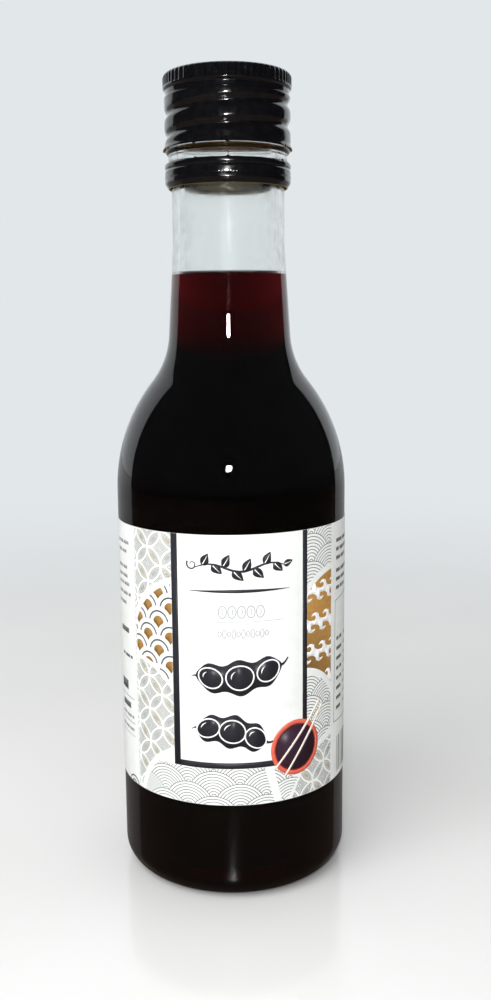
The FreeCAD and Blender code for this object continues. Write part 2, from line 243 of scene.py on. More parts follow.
class EffectLibrary:
    """Builds each shared node group once and places it in materials."""

    MOTTLE_SPREAD = (0.32, 0.68)
    TINT_SPREAD = (0.35, 0.65)
    FINER = 5.0

    def __init__(self) -> None:
        """Makes the three groups."""
        self.groups = {
            Effect.MOTTLE: self._mottle(),
            Effect.RELIEF: self._relief(),
            Effect.TINT: self._tint(),
        }

    @staticmethod
    def _new(
        effect: Effect, inputs: dict[str, float | None], output: str, kind: str
    ) -> tuple[Wiring, bpy.types.Node]:
        """An empty group with its sockets.

        Args:
            effect: Which group it is.
            inputs: Name and default of each input; one without a default is a colour.
            output: Name of its one output.
            kind: Socket type of that output.

        Returns:
            The wiring of the new group and its input node.
        """
        group = bpy.data.node_groups.new(effect.value, "ShaderNodeTree")
        group.interface.new_socket(name=output, in_out="OUTPUT", socket_type=kind)
        for name, default in inputs.items():
            sort = "NodeSocketColor" if default is None else "NodeSocketFloat"
            socket = group.interface.new_socket(name=name, in_out="INPUT", socket_type=sort)
            if default is not None:
                socket.default_value = default
        wiring = Wiring(group)
        return wiring, wiring.add("NodeGroupInput")

    @staticmethod
    def _noise(
        wiring: Wiring, scale: bpy.types.NodeSocket, detail: float = 2.0
    ) -> bpy.types.NodeSocket:
        """A noise pattern in the piece's own coordinates.

        Args:
            wiring: The group being made.
            scale: The output that gives its scale.
            detail: How many finer layers the noise has.

        Returns:
            The noise's value.
        """
        place = wiring.add("ShaderNodeTexCoord").outputs["Object"]
        feeds = {"Vector": place, "Scale": scale, "Detail": detail}
        return wiring.add("ShaderNodeTexNoise", feeds).outputs["Fac"]

    def _mottle(self) -> bpy.types.NodeTree:
        """A value that drifts between Low and High over the surface.

        Returns:
            The group.
        """
        inputs = {"Scale": 400.0, "Low": 0.0, "High": 1.0}
        wiring, source = self._new(Effect.MOTTLE, inputs, "Value", "NodeSocketFloat")
        feeds = {
            "Value": self._noise(wiring, source.outputs["Scale"], 3.0),
            "From Min": self.MOTTLE_SPREAD[0],
            "From Max": self.MOTTLE_SPREAD[1],
            "To Min": source.outputs["Low"],
            "To Max": source.outputs["High"],
        }
        spread = wiring.add("ShaderNodeMapRange", feeds)
        wiring.add("NodeGroupOutput", {"Value": spread.outputs["Result"]})
        return wiring.tree

    def _relief(self) -> bpy.types.NodeTree:
        """A height for a Bump node: one broad and one fine noise.

        Returns:
            The group.
        """
        inputs = {"Scale": 800.0, "Fine": 0.3}
        wiring, source = self._new(Effect.RELIEF, inputs, "Height", "NodeSocketFloat")
        scale = source.outputs["Scale"]
        finer = wiring.add("ShaderNodeMath", {0: scale, 1: self.FINER}, operation="MULTIPLY")
        feeds = {
            "Factor": source.outputs["Fine"],
            "A": self._noise(wiring, scale, 1.0),
            "B": self._noise(wiring, finer.outputs[0]),
        }
        blend = wiring.add("ShaderNodeMix", feeds, data_type="FLOAT")
        wiring.add("NodeGroupOutput", {"Height": blend.outputs["Result"]})
        return wiring.tree

    def _tint(self) -> bpy.types.NodeTree:
        """A colour that drifts between two tones.

        Returns:
            The group.
        """
        inputs = {"Scale": 300.0, "Tone A": None, "Tone B": None}
        wiring, source = self._new(Effect.TINT, inputs, "Color", "NodeSocketColor")
        feeds = {
            "Value": self._noise(wiring, source.outputs["Scale"]),
            "From Min": self.TINT_SPREAD[0],
            "From Max": self.TINT_SPREAD[1],
        }
        share = wiring.add("ShaderNodeMapRange", feeds).outputs["Result"]
        feeds = {"Factor": share, 6: source.outputs["Tone A"], 7: source.outputs["Tone B"]}
        blend = wiring.add("ShaderNodeMix", feeds, data_type="RGBA")
        wiring.add("NodeGroupOutput", {"Color": blend.outputs[2]})
        return wiring.tree

    def place(self, wiring: Wiring, effect: Effect, **values: object) -> bpy.types.NodeSocket:
        """Puts a group in a material.

        Args:
            wiring: The material's wiring.
            effect: Which group.
            values: Values for its inputs, with _ for a space in a name.

        Returns:
            The group's output socket.
        """
        feeds = {name.replace("_", " "): value for name, value in values.items()}
        group = self.groups[effect]
        return wiring.add("ShaderNodeGroup", feeds, node_tree=group).outputs[0]


@dataclass(frozen=True)
class Relief:
    """Fine unevenness of a surface, as a bump."""

    scale: float
    depth: float
    fine: float = 0.3


@dataclass(frozen=True)
class Finish:
    """An opaque finish: two tones, a range of roughness, and perhaps a coat or bare metal."""

    name: str
    tone: Colour
    drift: Colour
    smooth: float
    rough: float
    metallic: float = 0.0
    coat: float = 0.0
    coat_roughness: float = 0.05
    specular: float = 0.5
    scale: float = 300.0
    relief: Relief | None = None

    def material(self, effects: EffectLibrary) -> bpy.types.Material:
        """Builds the material.

        Args:
            effects: The shared node groups.

        Returns:
            The new material.
        """
        made, wiring = new_material(self.name)
        tones = {"Tone_A": self.tone, "Tone_B": self.drift}
        ends = {"Low": self.smooth, "High": self.rough}
        feeds = {
            "Base Color": effects.place(wiring, Effect.TINT, Scale=self.scale, **tones),
            "Roughness": effects.place(wiring, Effect.MOTTLE, Scale=self.scale * 2, **ends),
            "Metallic": self.metallic,
            "Specular IOR Level": self.specular,
            "Coat Weight": self.coat,
            "Coat Roughness": self.coat_roughness,
        }
        shader = wiring.add("ShaderNodeBsdfPrincipled", feeds)
        wiring.add("ShaderNodeOutputMaterial", {"Surface": shader.outputs["BSDF"]})
        if self.relief:
            add_relief(wiring, effects, self.relief, shader)
        return made


@dataclass(frozen=True)
class ClearFinish:
    """A see-through finish with a bending index and an absorbing body."""

    name: str
    index: float
    absorbed: Colour = (1.0, 1.0, 1.0, 1.0)
    density: float = 0.0
    specular: float = 0.5
    smooth: float = 0.0
    rough: float = 0.0
    tone: Colour = (1.0, 1.0, 1.0, 1.0)
    drift: Colour = (0.985, 0.99, 0.985, 1.0)
    relief: Relief | None = None

    def material(self, effects: EffectLibrary) -> bpy.types.Material:
        """Builds the material.

        Args:
            effects: The shared node groups.

        Returns:
            The new material.
        """
        made, wiring = new_material(self.name)
        tones = {"Tone_A": self.tone, "Tone_B": self.drift}
        colour = effects.place(wiring, Effect.TINT, Scale=60.0, **tones)
        gloss: object = 0.0
        if self.rough > 0:
            ends = {"Low": self.smooth, "High": self.rough}
            gloss = effects.place(wiring, Effect.MOTTLE, Scale=500.0, **ends)
        feeds = {
            "Base Color": colour,
            "Roughness": gloss,
            "Transmission Weight": 1.0,
            "IOR": self.index,
            "Specular IOR Level": self.specular,
        }
        shader = wiring.add("ShaderNodeBsdfPrincipled", feeds)
        output = wiring.add("ShaderNodeOutputMaterial", {"Surface": shader.outputs["BSDF"]})
        if self.density > 0:
            feeds = {"Color": self.absorbed, "Density": self.density}
            body = wiring.add("ShaderNodeVolumeAbsorption", feeds)
            wiring.join(body.outputs["Volume"], output.inputs["Volume"])
        if self.relief:
            add_relief(wiring, effects, self.relief, shader)
        return made


def add_relief(
    wiring: Wiring, effects: EffectLibrary, relief: Relief, shader: bpy.types.Node
) -> None:
    """Gives a shader fine unevenness.

    Args:
        wiring: The material's wiring.
        effects: The shared node groups.
        relief: How broad and how deep it is.
        shader: The Principled shader that takes it.
    """
    height = effects.place(wiring, Effect.RELIEF, Scale=relief.scale, Fine=relief.fine)
    bump = wiring.add("ShaderNodeBump", {"Distance": relief.depth * MM, "Height": height})
    wiring.join(bump.outputs["Normal"], shader.inputs["Normal"])


GLASS_TONE = (0.972, 0.988, 0.98, 1.0)
GLASS_DRIFT = (0.962, 0.984, 0.974, 1.0)
CLEAR_GLASS = ClearFinish(
    "clear_glass", index=1.52, tone=GLASS_TONE, drift=GLASS_DRIFT,
    relief=Relief(scale=35.0, depth=0.05, fine=0.02),
)
WET_GLASS = ClearFinish(
    "wetted_glass", index=1.1, tone=GLASS_TONE, drift=GLASS_DRIFT, specular=0.0
)
FILMED_GLASS = ClearFinish(
    "filmed_glass", index=1.52, tone=GLASS_TONE, drift=GLASS_DRIFT, smooth=0.08, rough=0.26
)
SAUCE = ClearFinish(
    "soy_sauce", index=1.1, absorbed=(0.61, 0.05, 0.12, 1.0), density=400.0, specular=0.2,
    drift=(0.97, 0.94, 0.94, 1.0),
)
BLACK_LACQUER = Finish(
    "black_lacquer", tone=srgb(9, 9, 11), drift=srgb(14, 14, 16), smooth=0.10, rough=0.22,
    coat=0.6, coat_roughness=0.04, scale=500.0, relief=Relief(scale=900.0, depth=0.006),
)
# The cap's inside is gold lacquer, but its tone is painted brighter than the lacquer's own, as painted
# light where little light reaches in through the glass.
GOLD_LACQUER_PAINTED_BRIGHT = Finish(
    "gold_lacquer", tone=srgb(240, 180, 98), drift=srgb(232, 168, 84), smooth=0.3, rough=0.45,
    metallic=0.15, scale=400.0,
)
DULL_GOLD = Finish(
    "dull_gold_lacquer", tone=srgb(206, 190, 146), drift=srgb(190, 172, 126), smooth=0.35,
    rough=0.5, metallic=0.15, scale=400.0,
)
BARE_METAL = Finish(
    "torn_aluminium", tone=srgb(214, 214, 212), drift=srgb(180, 180, 178), smooth=0.2,
    rough=0.45, metallic=1.0, scale=1500.0,
)
PAPER = Finish(
    "label_paper", tone=srgb(238, 240, 238), drift=srgb(233, 235, 232), smooth=0.34, rough=0.46,
    specular=0.4, scale=260.0, relief=Relief(scale=2600.0, depth=0.006, fine=0.5),
)


class Ink(Enum):
    """Printing inks, each with its display colour."""

    CHARCOAL = (40, 40, 46)
    GREY_LINE = (96, 97, 92)
    DARK_LINE = (84, 86, 86)
    OLIVE_LINE = (116, 102, 66)
    PALE_LINE = (150, 150, 152)
    GOLD = (152, 112, 56)
    CORAL = (216, 96, 76)
    PLUM = (52, 30, 46)
    WINE = (96, 22, 26)
    CREAM = (244, 228, 214)
    WHITE = (240, 241, 239)

    def finish(self) -> Finish:
        """The ink's finish: a satin film with a slight drift of tone.

        Returns:
            The finish.
        """
        tone = srgb(*self.value)
        faint = srgb(*(min(255, round(part * 1.06) + 3) for part in self.value))
        return Finish(
            f"ink_{self.name.lower()}", tone, faint, smooth=0.3, rough=0.44, scale=900.0,
            specular=0.45,
        )


# ---------------------------------------------------------------- mesh building


@dataclass
class MeshDraft:
    """Points in millimetres and faces, gathered before they become a mesh."""

    points: list[tuple[float, float, float]] = field(default_factory=list)
    faces: list[tuple[int, ...]] = field(default_factory=list)
    slots: list[int] = field(default_factory=list)

    def piece(
        self, name: str, materials: Sequence[bpy.types.Material], crease: float = 40.0
    ) -> bpy.types.Object:
        """Makes the mesh object.

        Args:
            name: The piece's name.
            materials: Its material slots.
            crease: Edges sharper than this many degrees stay sharp.

        Returns:
            The new object, linked to the scene.
        """
        mesh = bpy.data.meshes.new(name)
        mesh.from_pydata([[part * MM for part in point] for point in self.points], [], self.faces)
        for material in materials:
            mesh.materials.append(material)
        mesh.polygons.foreach_set("material_index", self.slots or [0] * len(self.faces))
        mesh.shade_smooth()
        mesh.set_sharp_from_angle(angle=math.radians(crease))
        mesh.update()
        made = bpy.data.objects.new(name, mesh)
        bpy.context.scene.collection.objects.link(made)
        return made

    def grid(self, columns: int, rows: int, start: int = 0, inward: bool = False) -> None:
        """Adds the faces of a grid of points.

        Args:
            columns: How many faces it is wide.
            rows: How many faces it is high.
            start: The number of its first point.
            inward: Whether its faces look the other way.
        """
        wide = columns + 1
        for row in range(rows):
            for column in range(columns):
                a = start + row * wide + column
                face = (a, a + 1, a + 1 + wide, a + wide)
                self.faces.append(face[::-1] if inward else face)


def turned(
    rows: Sequence[Point],
    columns: int,
    warp: Callable[[float, float, float, int], Point] | None = None,
    slot_of: Callable[[int], int] | None = None,
) -> MeshDraft:
    """Turns a closed outline about the Z axis.

    Args:
        rows: (radius, height) points; the first and last may lie on the axis, or the outline
            closes on itself.
        columns: How many steps there are round the axis.
        warp: Gives the (radius, height) of a row at an angle, from radius, height, angle, row.
        slot_of: Gives the material slot of the faces between a row and the next.

    Returns:
        The draft of the turned form.
    """
    draft = MeshDraft()
    on_axis = rows[0][0] == 0
    starts: list[int] = []
    for index, (radius, height) in enumerate(rows):
        starts.append(len(draft.points))
        if radius == 0:
            draft.points.append((0.0, 0.0, height))
            continue
        for column in range(columns):
            angle = math.tau * column / columns
            r, z = warp(radius, height, angle, index) if warp else (radius, height)
            draft.points.append((r * math.cos(angle), r * math.sin(angle), z))
    count = len(rows)
    for index in range(count - 1 if on_axis else count):
        following = (index + 1) % count
        slot = slot_of(index) if slot_of else 0
        for column in range(columns):
            beside = (column + 1) % columns
            low, high = starts[index], starts[following]
            if rows[index][0] == 0:
                face = (low, high + beside, high + column)
            elif rows[following][0] == 0:
                face = (low + column, low + beside, high)
            else:
                face = (low + column, low + beside, high + beside, high + column)
            draft.faces.append(face)
            draft.slots.append(slot)
    return draft


# ---------------------------------------------------------------- glass and sauce


@dataclass
class Vessel:
    """The bottle's form: its outside, the hollow in it and the surface of the sauce."""

    body_radius: float
    mouth: float
    band_foot: float
    cap_edge: float
    shoulder_start: float = 98.9
    shoulder_radius: float = 43.0
    shoulder_blend: float = 20.0
    flare_rise: float = 59.7
    neck_taper: float = 3.7
    neck_radius: float = 13.8
    wall: float = 3.0
    base_thickness: float = 5.5
    heel_radius: float = 6.0
    bearing_width: float = 4.0
    punt_depth: float = 2.5
    columns: int = 256

    def outline(self, inset: float, floor: float) -> list[Point]:
        """The outline from the axis at the floor up to the foot of the straight neck.

        Args:
            inset: How far it is drawn in from the glass's outside.
            floor: Height of the flat ring it stands on.

        Returns:
            The (radius, height) points, base first.
        """
        radius = self.body_radius - inset
        ring_outer = radius - self.heel_radius
        ring_inner = ring_outer - self.bearing_width
        dome = (ring_inner**2 + self.punt_depth**2) / (2 * self.punt_depth)
        sink = (0.0, floor + self.punt_depth - dome)
        edge = math.atan2(floor - sink[1], ring_inner)
        points = arc(sink, dome, math.pi / 2, edge, 8)
        points[0] = (0.0, floor + self.punt_depth)
        heel = (ring_outer, floor + self.heel_radius)
        points += arc(heel, self.heel_radius, -math.pi / 2, 0.0, 12)
        points += line((radius, heel[1]), (radius, self.shoulder_start), 16)[1:-1]
        round_in = self.shoulder_radius - inset
        centre = (radius - round_in, self.shoulder_start)
        blend = self.shoulder_blend + inset
        corner = (self.neck_radius - inset, self.shoulder_start + self.flare_rise)
        middle, lean = self._blend(corner, centre, round_in, blend)
        taper = math.radians(self.neck_taper)
        points += arc(centre, round_in, 0.0, lean, 22)
        points += arc(middle, blend, math.pi + lean, math.pi + taper, 12)[1:]
        points.append(corner)
        return points

    def _blend(
        self, corner: Point, centre: Point, round_in: float, blend: float
    ) -> tuple[Point, float]:
        """Where the hollow round between shoulder and neck lies.

        Args:
            corner: Foot of the straight neck.
            centre: Centre of the shoulder's round.
            round_in: Radius of that round.
            blend: Radius of the hollow round.

        Returns:
            The hollow round's centre and the angle at which it meets the shoulder.
        """
        taper = math.radians(self.neck_taper)
        down = (math.sin(taper), -math.cos(taper))
        start = (corner[0] + blend * math.cos(taper), corner[1] + blend * math.sin(taper))
        away = (start[0] - centre[0], start[1] - centre[1])
        along = away[0] * down[0] + away[1] * down[1]
        reach = round_in + blend
        travel = -along - math.sqrt(along**2 - away[0] ** 2 - away[1] ** 2 + reach**2)
        middle = (start[0] + travel * down[0], start[1] + travel * down[1])
        return middle, math.atan2(middle[1] - centre[1], middle[0] - centre[0])


@dataclass
class GlassBottle:
    """The glass, with the collar, beads and thread of its finish."""

    form: Vessel
    collar_step: float = 0.7
    collar_lift: float = 1.4
    lock_reach: float = 1.1
    lock_round: float = 1.5
    lock_lift: float = 3.0
    lip_reach: float = 1.4
    lip_round: float = 0.9
    lip_drop: float = 0.3
    lip_edge: float = 0.9
    thread_reach: float = 0.95
    thread_half: float = 1.1
    thread_pitch: float = 5.0
    thread_lift: float = 5.4
    thread_turns: float = 0.9
    thread_floor: float = 1.5
    thread_fade: float = 0.4
    thread_rows: int = 60
    collar_run: float = 4.0
    lip_gap: float = 0.4
    lip_rows: int = 4

    def _bead(self, reach: float, nose: float, middle: float, root: float) -> list[Point]:
        """A half-round ring that stands out from the neck.

        Args:
            reach: Outer radius of the ring.
            nose: Radius of its round.
            middle: Height of its middle.
            root: Radius of the glass it stands on.

        Returns:
            Its points from below to above.
        """
        centre = (reach - nose, middle)
        angle = math.acos(max(-1.0, min(1.0, (root - centre[0]) / nose)))
        return arc(centre, nose, -angle, angle, 14)

    def _finish_outline(self) -> list[Point]:
        """The outside of the finish, from the straight neck up to the lip.

        Returns:
            The (radius, height) points.
        """
        form = self.form
        neck = form.neck_radius
        collar = neck + self.collar_step
        foot = form.band_foot + self.collar_lift
        lip = form.cap_edge - self.lip_drop
        points = [(neck, foot - self.collar_run), (neck, foot - self.collar_step)]
        points += [(neck + self.collar_step * 0.5, foot - self.collar_step * 0.42)]
        points += self._bead(
            neck + self.lock_reach, self.lock_round, form.band_foot + self.lock_lift, collar
        )
        points += self._bead(neck + self.lip_reach, self.lip_round, lip, collar)
        top = lip + self.lip_round + self.lip_gap
        points += line((neck, top), (neck, form.mouth - self.lip_edge), self.thread_rows)
        edge = (neck - self.lip_edge, form.mouth - self.lip_edge)
        points += arc(edge, self.lip_edge, 0.0, math.pi / 2, 6)[1:]
        return points

    def _thread(self, radius: float, height: float, angle: float, row: int) -> Point:
        """Raises the glass thread where it passes.

        Args:
            radius: The outline's radius.
            height: The outline's height.
            angle: Where round the axis.
            row: The outline's row, which isn't used here.

        Returns:
            The (radius, height) with the thread.
        """
        form = self.form
        if radius < form.neck_radius - 0.01 or height < form.cap_edge + self.thread_floor:
            return radius, height
        lift = 0.0
        for turn in range(-1, 3):
            travel = angle - math.pi + math.tau * turn
            middle = form.cap_edge + self.thread_lift + self.thread_pitch * travel / math.tau
            ends = ease(0, self.thread_fade, travel)
            ends *= ease(0, self.thread_fade, math.tau * self.thread_turns - travel)
            off = abs(height - middle) / self.thread_half
            if off < 1 and ends > 0:
                lift = max(lift, self.thread_reach * ends * math.sqrt(1 - off * off))
        return radius + lift, height

    def _inner_outline(self) -> list[Point]:
        """The hollow, from the mouth down to the middle of its floor.

        Returns:
            The (radius, height) points.
        """
        form = self.form
        inner = form.outline(form.wall, form.base_thickness)[::-1]
        bore = form.neck_radius - form.wall
        edge = (bore + self.lip_edge, form.mouth - self.lip_edge)
        lip = arc(edge, self.lip_edge, math.pi / 2, math.pi, 6)
        top, foot = lip[-1][1], inner[0][1]
        return lip + line((bore, top), (bore, foot), 24)[1:-1] + inner

    @staticmethod
    def _split(outline: list[Point], level: float) -> list[Point]:
        """Adds the row at which the sauce's surface meets the wall.

        Args:
            outline: The hollow's outline, from above.
            level: Height of the sauce.

        Returns:
            The outline with the row.
        """
        for index in range(len(outline) - 1):
            (upper, above), (lower, below) = outline[index], outline[index + 1]
            if above > level > below:
                share = (above - level) / (above - below)
                row = (upper + (lower - upper) * share, level)
                return outline[: index + 1] + [row] + outline[index + 1 :]
        return outline

    def build(self, effects: EffectLibrary, level: float) -> bpy.types.Object:
        """Makes the glass.

        Args:
            effects: The shared node groups.
            level: Height of the sauce, below which the inside is wetted.

        Returns:
            The piece.
        """
        outer = self.form.outline(0.0, 0.0) + self._finish_outline()
        inner = self._split(self._inner_outline(), level)
        rows = outer + inner

        def slot(index: int) -> int:
            """Outside, filmed inside above the sauce, or wetted inside."""
            if index < len(outer) + self.lip_rows:
                return 0
            return 1 if rows[index][1] > level else 2

        draft = turned(rows, self.form.columns, self._thread, slot)
        finishes = (CLEAR_GLASS, FILMED_GLASS, WET_GLASS)
        return draft.piece("glass_wall", [finish.material(effects) for finish in finishes])


@dataclass
class SauceFill:
    """The sauce, which reaches just into the wall and climbs it a little at its surface."""

    form: Vessel
    level: float
    overlap: float = 0.05
    foot_inset: float = 1.0
    foot_floor: float = 1.5
    foot_top: float = 12.5
    climb: float = 0.55
    climb_reach: float = 1.6

    def build(self, effects: EffectLibrary) -> bpy.types.Object:
        """Makes the sauce.

        Args:
            effects: The shared node groups.

        Returns:
            The piece.
        """
        form = self.form
        inset = form.wall - self.overlap
        foot = form.outline(self.foot_inset, self.foot_floor)
        outline = [point for point in foot if point[1] < self.foot_floor + form.heel_radius]
        outline += [
            point for point in form.outline(inset, form.base_thickness) if point[1] > self.foot_top
        ]
        side = [point for point in outline if point[1] < self.level - 1]
        above = next(point for point in outline if point[1] >= self.level - 1)
        below = side[-1]
        share = (self.level - below[1]) / (above[1] - below[1])
        rim = below[0] + (above[0] - below[0]) * share
        rows = side + [(rim, self.level - 0.5), (rim, self.level + self.climb)]
        steps = 12
        for step in range(1, steps):
            away = self.climb_reach * 2.5 * (step / steps) ** 1.5
            rise = self.climb * math.exp(-away / (self.climb_reach * 0.4))
            rows.append((rim - away, self.level + rise))
        rows += [(rim * 0.4, self.level), (0.0, self.level)]
        draft = turned(rows, form.columns)
        return draft.piece("sauce_fill", [SAUCE.material(effects)])


# ---------------------------------------------------------------- closure


def torn_edge(angle: float, bridges: int, length: float) -> float:
    """How far the stubs of torn bridges stand out from an edge.

    Args:
        angle: Where round the closure.
        bridges: How many bridges there were.
        length: How long the longest stub is.

    Returns:
        The stub's length here, with a slight waver between the stubs.
    """
    step = math.tau / bridges
    nearest = round(angle / step)
    off = abs(angle - nearest * step)
    uneven = 0.55 + 0.45 * math.sin(nearest * 2.4)
    stub = length * uneven * (1 - ease(0.012, 0.03, off))
    return stub + 0.03 * math.sin(angle * 23) * math.sin(angle * 7 + 1)


def metal_slot(outer_rows: int) -> Callable[[int], int]:
    """Material slots of a lacquered shell turned from its outside and then its inside.

    Args:
        outer_rows: How many rows its outside has.

    Returns:
        A function that gives 0 outside, 1 inside and 2 on the torn edge between them.
    """

    def slot(index: int) -> int:
        """The slot of the faces after a row."""
        if index == outer_rows - 1:
            return 2
        return 0 if index < outer_rows else 1

    return slot


@dataclass
class ScrewCap:
    """The rolled aluminium cap: knurled grip, narrow ring, rolled thread and torn edge."""

    edge: float
    top: float
    skirt: float = 15.35
    sheet: float = 0.25
    grip_step: float = 0.25
    grip_height: float = 3.5
    corner: float = 1.2
    waist_depth: float = 0.35
    waist_height: float = 1.2
    slope: float = 0.5
    edge_step: float = 0.4
    edge_flare: float = 1.3
    flutes: int = 64
    flute_depth: float = 0.24
    thread_start: float = 10.45
    thread_pitch: float = 5.0
    thread_depth: float = 0.72
    thread_half: float = 0.95
    thread_first: float = -3.3 * math.pi
    thread_last: float = 0.9
    bridges: int = 12
    stub: float = 0.4
    panel_radius: float = 12.6
    panel_drop: float = 0.18
    columns: int = 384
    row_height: float = 0.14

    def _profile(self, height: float) -> float:
        """The skirt's and the grip's radius before the thread is rolled in.

        Args:
            height: Where up the cap.

        Returns:
            The radius.
        """
        grip_foot = self.top - self.grip_height
        waist_top = grip_foot - self.slope
        waist_foot = waist_top - self.waist_height
        grip = self.grip_step * ease(grip_foot - self.slope, grip_foot + 0.2, height)
        waist = self.waist_depth * ease(waist_foot - self.slope, waist_foot + 0.1, height)
        waist *= ease(grip_foot, waist_top - 0.1, height)
        flare = self.edge_step * ease(self.edge + self.edge_flare, self.edge, height) ** 1.4
        return self.skirt + grip - waist + flare

    def _groove(self, height: float, angle: float) -> float:
        """Depth of the rolled thread.

        Args:
            height: Where up the cap.
            angle: Where round it.

        Returns:
            The depth, 0 away from the thread.
        """
        depth = 0.0
        for turn in range(-1, 3):
            travel = angle - math.tau * turn
            middle = self.edge + self.thread_start + self.thread_pitch * travel / math.tau
            ends = ease(self.thread_first, self.thread_first + 1.0, travel)
            ends *= ease(self.thread_last, self.thread_last - 1.0, travel)
            off = (height - middle) / self.thread_half
            depth += self.thread_depth * ends * math.exp(-off * off)
        return depth

    def _flute(self, height: float, angle: float) -> float:
        """Depth of the upright flutes of the grip.

        Args:
            height: Where up the cap.
            angle: Where round it.

        Returns:
            The depth.
        """
        low = self.top - self.grip_height
        window = ease(low + 0.1, low + 0.7, height) * ease(self.top, self.top - 1.0, height)
        wave = 0.5 - 0.5 * math.cos(self.flutes * angle)
        return self.flute_depth * window * wave**0.7

    @staticmethod
    def _dents(height: float, angle: float) -> float:
        """Slight unevenness of thin rolled sheet.

        Args:
            height: Where up the cap.
            angle: Where round it.

        Returns:
            How far the sheet stands out here.
        """
        broad = math.sin(3 * angle + 0.4 * height) * math.sin(5 * angle - 0.9 * height + 1)
        fine = math.sin(17 * angle + 2.1 * height) * math.sin(11 * angle - 1.3 * height)
        return 0.028 * broad + 0.012 * fine

    def _outer_rows(self) -> list[Point]:
        """The outside, from the middle of the top to the torn edge.

        Returns:
            The (radius, height) points.
        """
        grip = self.skirt + self.grip_step
        rows = [(0.0, self.top - self.panel_drop)]
        rows += [(self.panel_radius * share, self.top - self.panel_drop) for share in (0.35, 0.7)]
        rows += [
            (self.panel_radius - 0.5, self.top - self.panel_drop),
            (self.panel_radius, self.top - self.panel_drop * 0.8),
            (self.panel_radius + 0.4, self.top - self.panel_drop * 0.15),
            (self.panel_radius + 0.8, self.top),
        ]
        rows += arc((grip - self.corner, self.top - self.corner), self.corner, math.pi / 2, 0.0, 9)
        start = self.top - self.corner
        count = round((start - self.edge) / self.row_height)
        rows += [(grip, start - (start - self.edge) * n / count) for n in range(1, count + 1)]
        return rows

    def build(self, effects: EffectLibrary) -> bpy.types.Object:
        """Makes the cap.

        Args:
            effects: The shared node groups.

        Returns:
            The piece.
        """
        outer = self._outer_rows()
        head = self.top - self.corner + 0.001
        top_rows = sum(1 for _, height in outer if height > head)
        inner = [row for n, row in enumerate(outer) if n < top_rows or n % 2 == 0][::-1]
        count = len(outer)

        def warp(radius: float, height: float, angle: float, row: int) -> Point:
            """The cap's true radius and height at this row and angle."""
            thick = self.sheet if row >= count else 0.0
            tear = ease(self.edge + 0.8, self.edge, height)
            drop = tear * torn_edge(angle, self.bridges, self.stub)
            if height > head:
                side = self.skirt + self.grip_step
                cut = self._flute(height, angle) * ease(side - 1.6, side - 0.5, radius)
                if row >= count:
                    return max(radius - thick - cut, 0.01), height - thick
                return radius - cut, height
            true = self._profile(height) - self._groove(height, angle)
            true += self._dents(height, angle) - self._flute(height, angle)
            return true - thick, height - drop

        draft = turned(outer + inner, self.columns, warp, metal_slot(count))
        # The inside's gold is painted brighter than the lacquer, as painted light.
        finishes = (BLACK_LACQUER, GOLD_LACQUER_PAINTED_BRIGHT, BARE_METAL)
        return draft.piece("cap_rolled", [finish.material(effects) for finish in finishes], 60.0)


@dataclass
class TamperBand:
    """The band left on the neck: tucked in below, creased and curled above, with a knurled line."""

    foot: float
    top: float
    outer: float
    sheet: float = 0.25
    tuck: float = 1.05
    tuck_height: float = 1.4
    curl: float = 1.0
    crease: float = 0.25
    marks: int = 128
    mark_height: float = 2.3
    mark_depth: float = 0.07
    bridges: int = 12
    stub: float = 0.35
    columns: int = 512
    rows: int = 52

    def _radius(self, height: float, angle: float) -> float:
        """The band's outside.

        Args:
            height: Where up the band.
            angle: Where round it.

        Returns:
            The radius.
        """
        below = ease(self.foot + self.tuck_height, self.foot - 0.6, height)
        crease_at = self.top - 1.5 * self.curl
        crease = self.crease * math.exp(-(((height - crease_at) / 0.3) ** 2))
        curl = self.crease * ease(self.top - 0.45, self.top, height)
        line = math.exp(-(((height - self.foot - self.mark_height) / 0.22) ** 2))
        mark = self.mark_depth * line * (0.5 - 0.5 * math.cos(self.marks * angle))
        wave = 0.02 * math.sin(4 * angle + height) + 0.008 * math.sin(19 * angle - 2 * height)
        return self.outer - self.tuck * below - crease - curl - mark + wave

    def build(self, effects: EffectLibrary) -> bpy.types.Object:
        """Makes the band.

        Args:
            effects: The shared node groups.

        Returns:
            The piece.
        """
        outer = line((self.outer, self.foot), (self.outer, self.top), self.rows)
        inner = [(self.outer - self.sheet, height) for _, height in outer[::-2]]
        count = len(outer)

        def warp(radius: float, height: float, angle: float, row: int) -> Point:
            """The band's true radius and height at this row and angle."""
            thick = self.sheet if row >= count else 0.0
            tear = ease(self.top - 0.5, self.top, height)
            rise = tear * torn_edge(angle, self.bridges, self.stub)
            return self._radius(height, angle) - thick, height + rise

        draft = turned(outer + inner, self.columns, warp, metal_slot(count))
        finishes = (BLACK_LACQUER, DULL_GOLD, BARE_METAL)
        return draft.piece("band_rolled", [finish.material(effects) for finish in finishes], 60.0)


# ---------------------------------------------------------------- printed shapes

FAR = 1e6
EDGE = 1e-4
NO_AREA = 1e-7
HALVINGS = 7


class Region:
    """A flat area of the label, read as the heights it covers at each place across."""

    def spans(self, across: float) -> list[Span]:
        """The (low, high) stretches that it covers at one place across.

        Args:
            across: The place.

        Returns:
            The (low, high) stretches.
        """
        raise NotImplementedError

    def holds(self, point: Point) -> bool:
        """Whether a point lies in it.

        Args:
            point: The point.

        Returns:
            True where it does.
        """
        return any(low <= point[1] <= high for low, high in self.spans(point[0]))

    def __and__(self, other: "Region") -> "Region":
        """Where both are.

        Args:
            other: The other region.

        Returns:
            The new region.
        """
        return Both(self, other)

    def __sub__(self, other: "Region") -> "Region":
        """Where this is and the other isn't.

        Args:
            other: The other region.

        Returns:
            The new region.
        """
        return Both(self, Outside(other))

    def __or__(self, other: "Region") -> "Region":
        """Where either is.

        Args:
            other: The other region.

        Returns:
            The new region.
        """
        return Outside(Both(Outside(self), Outside(other)))


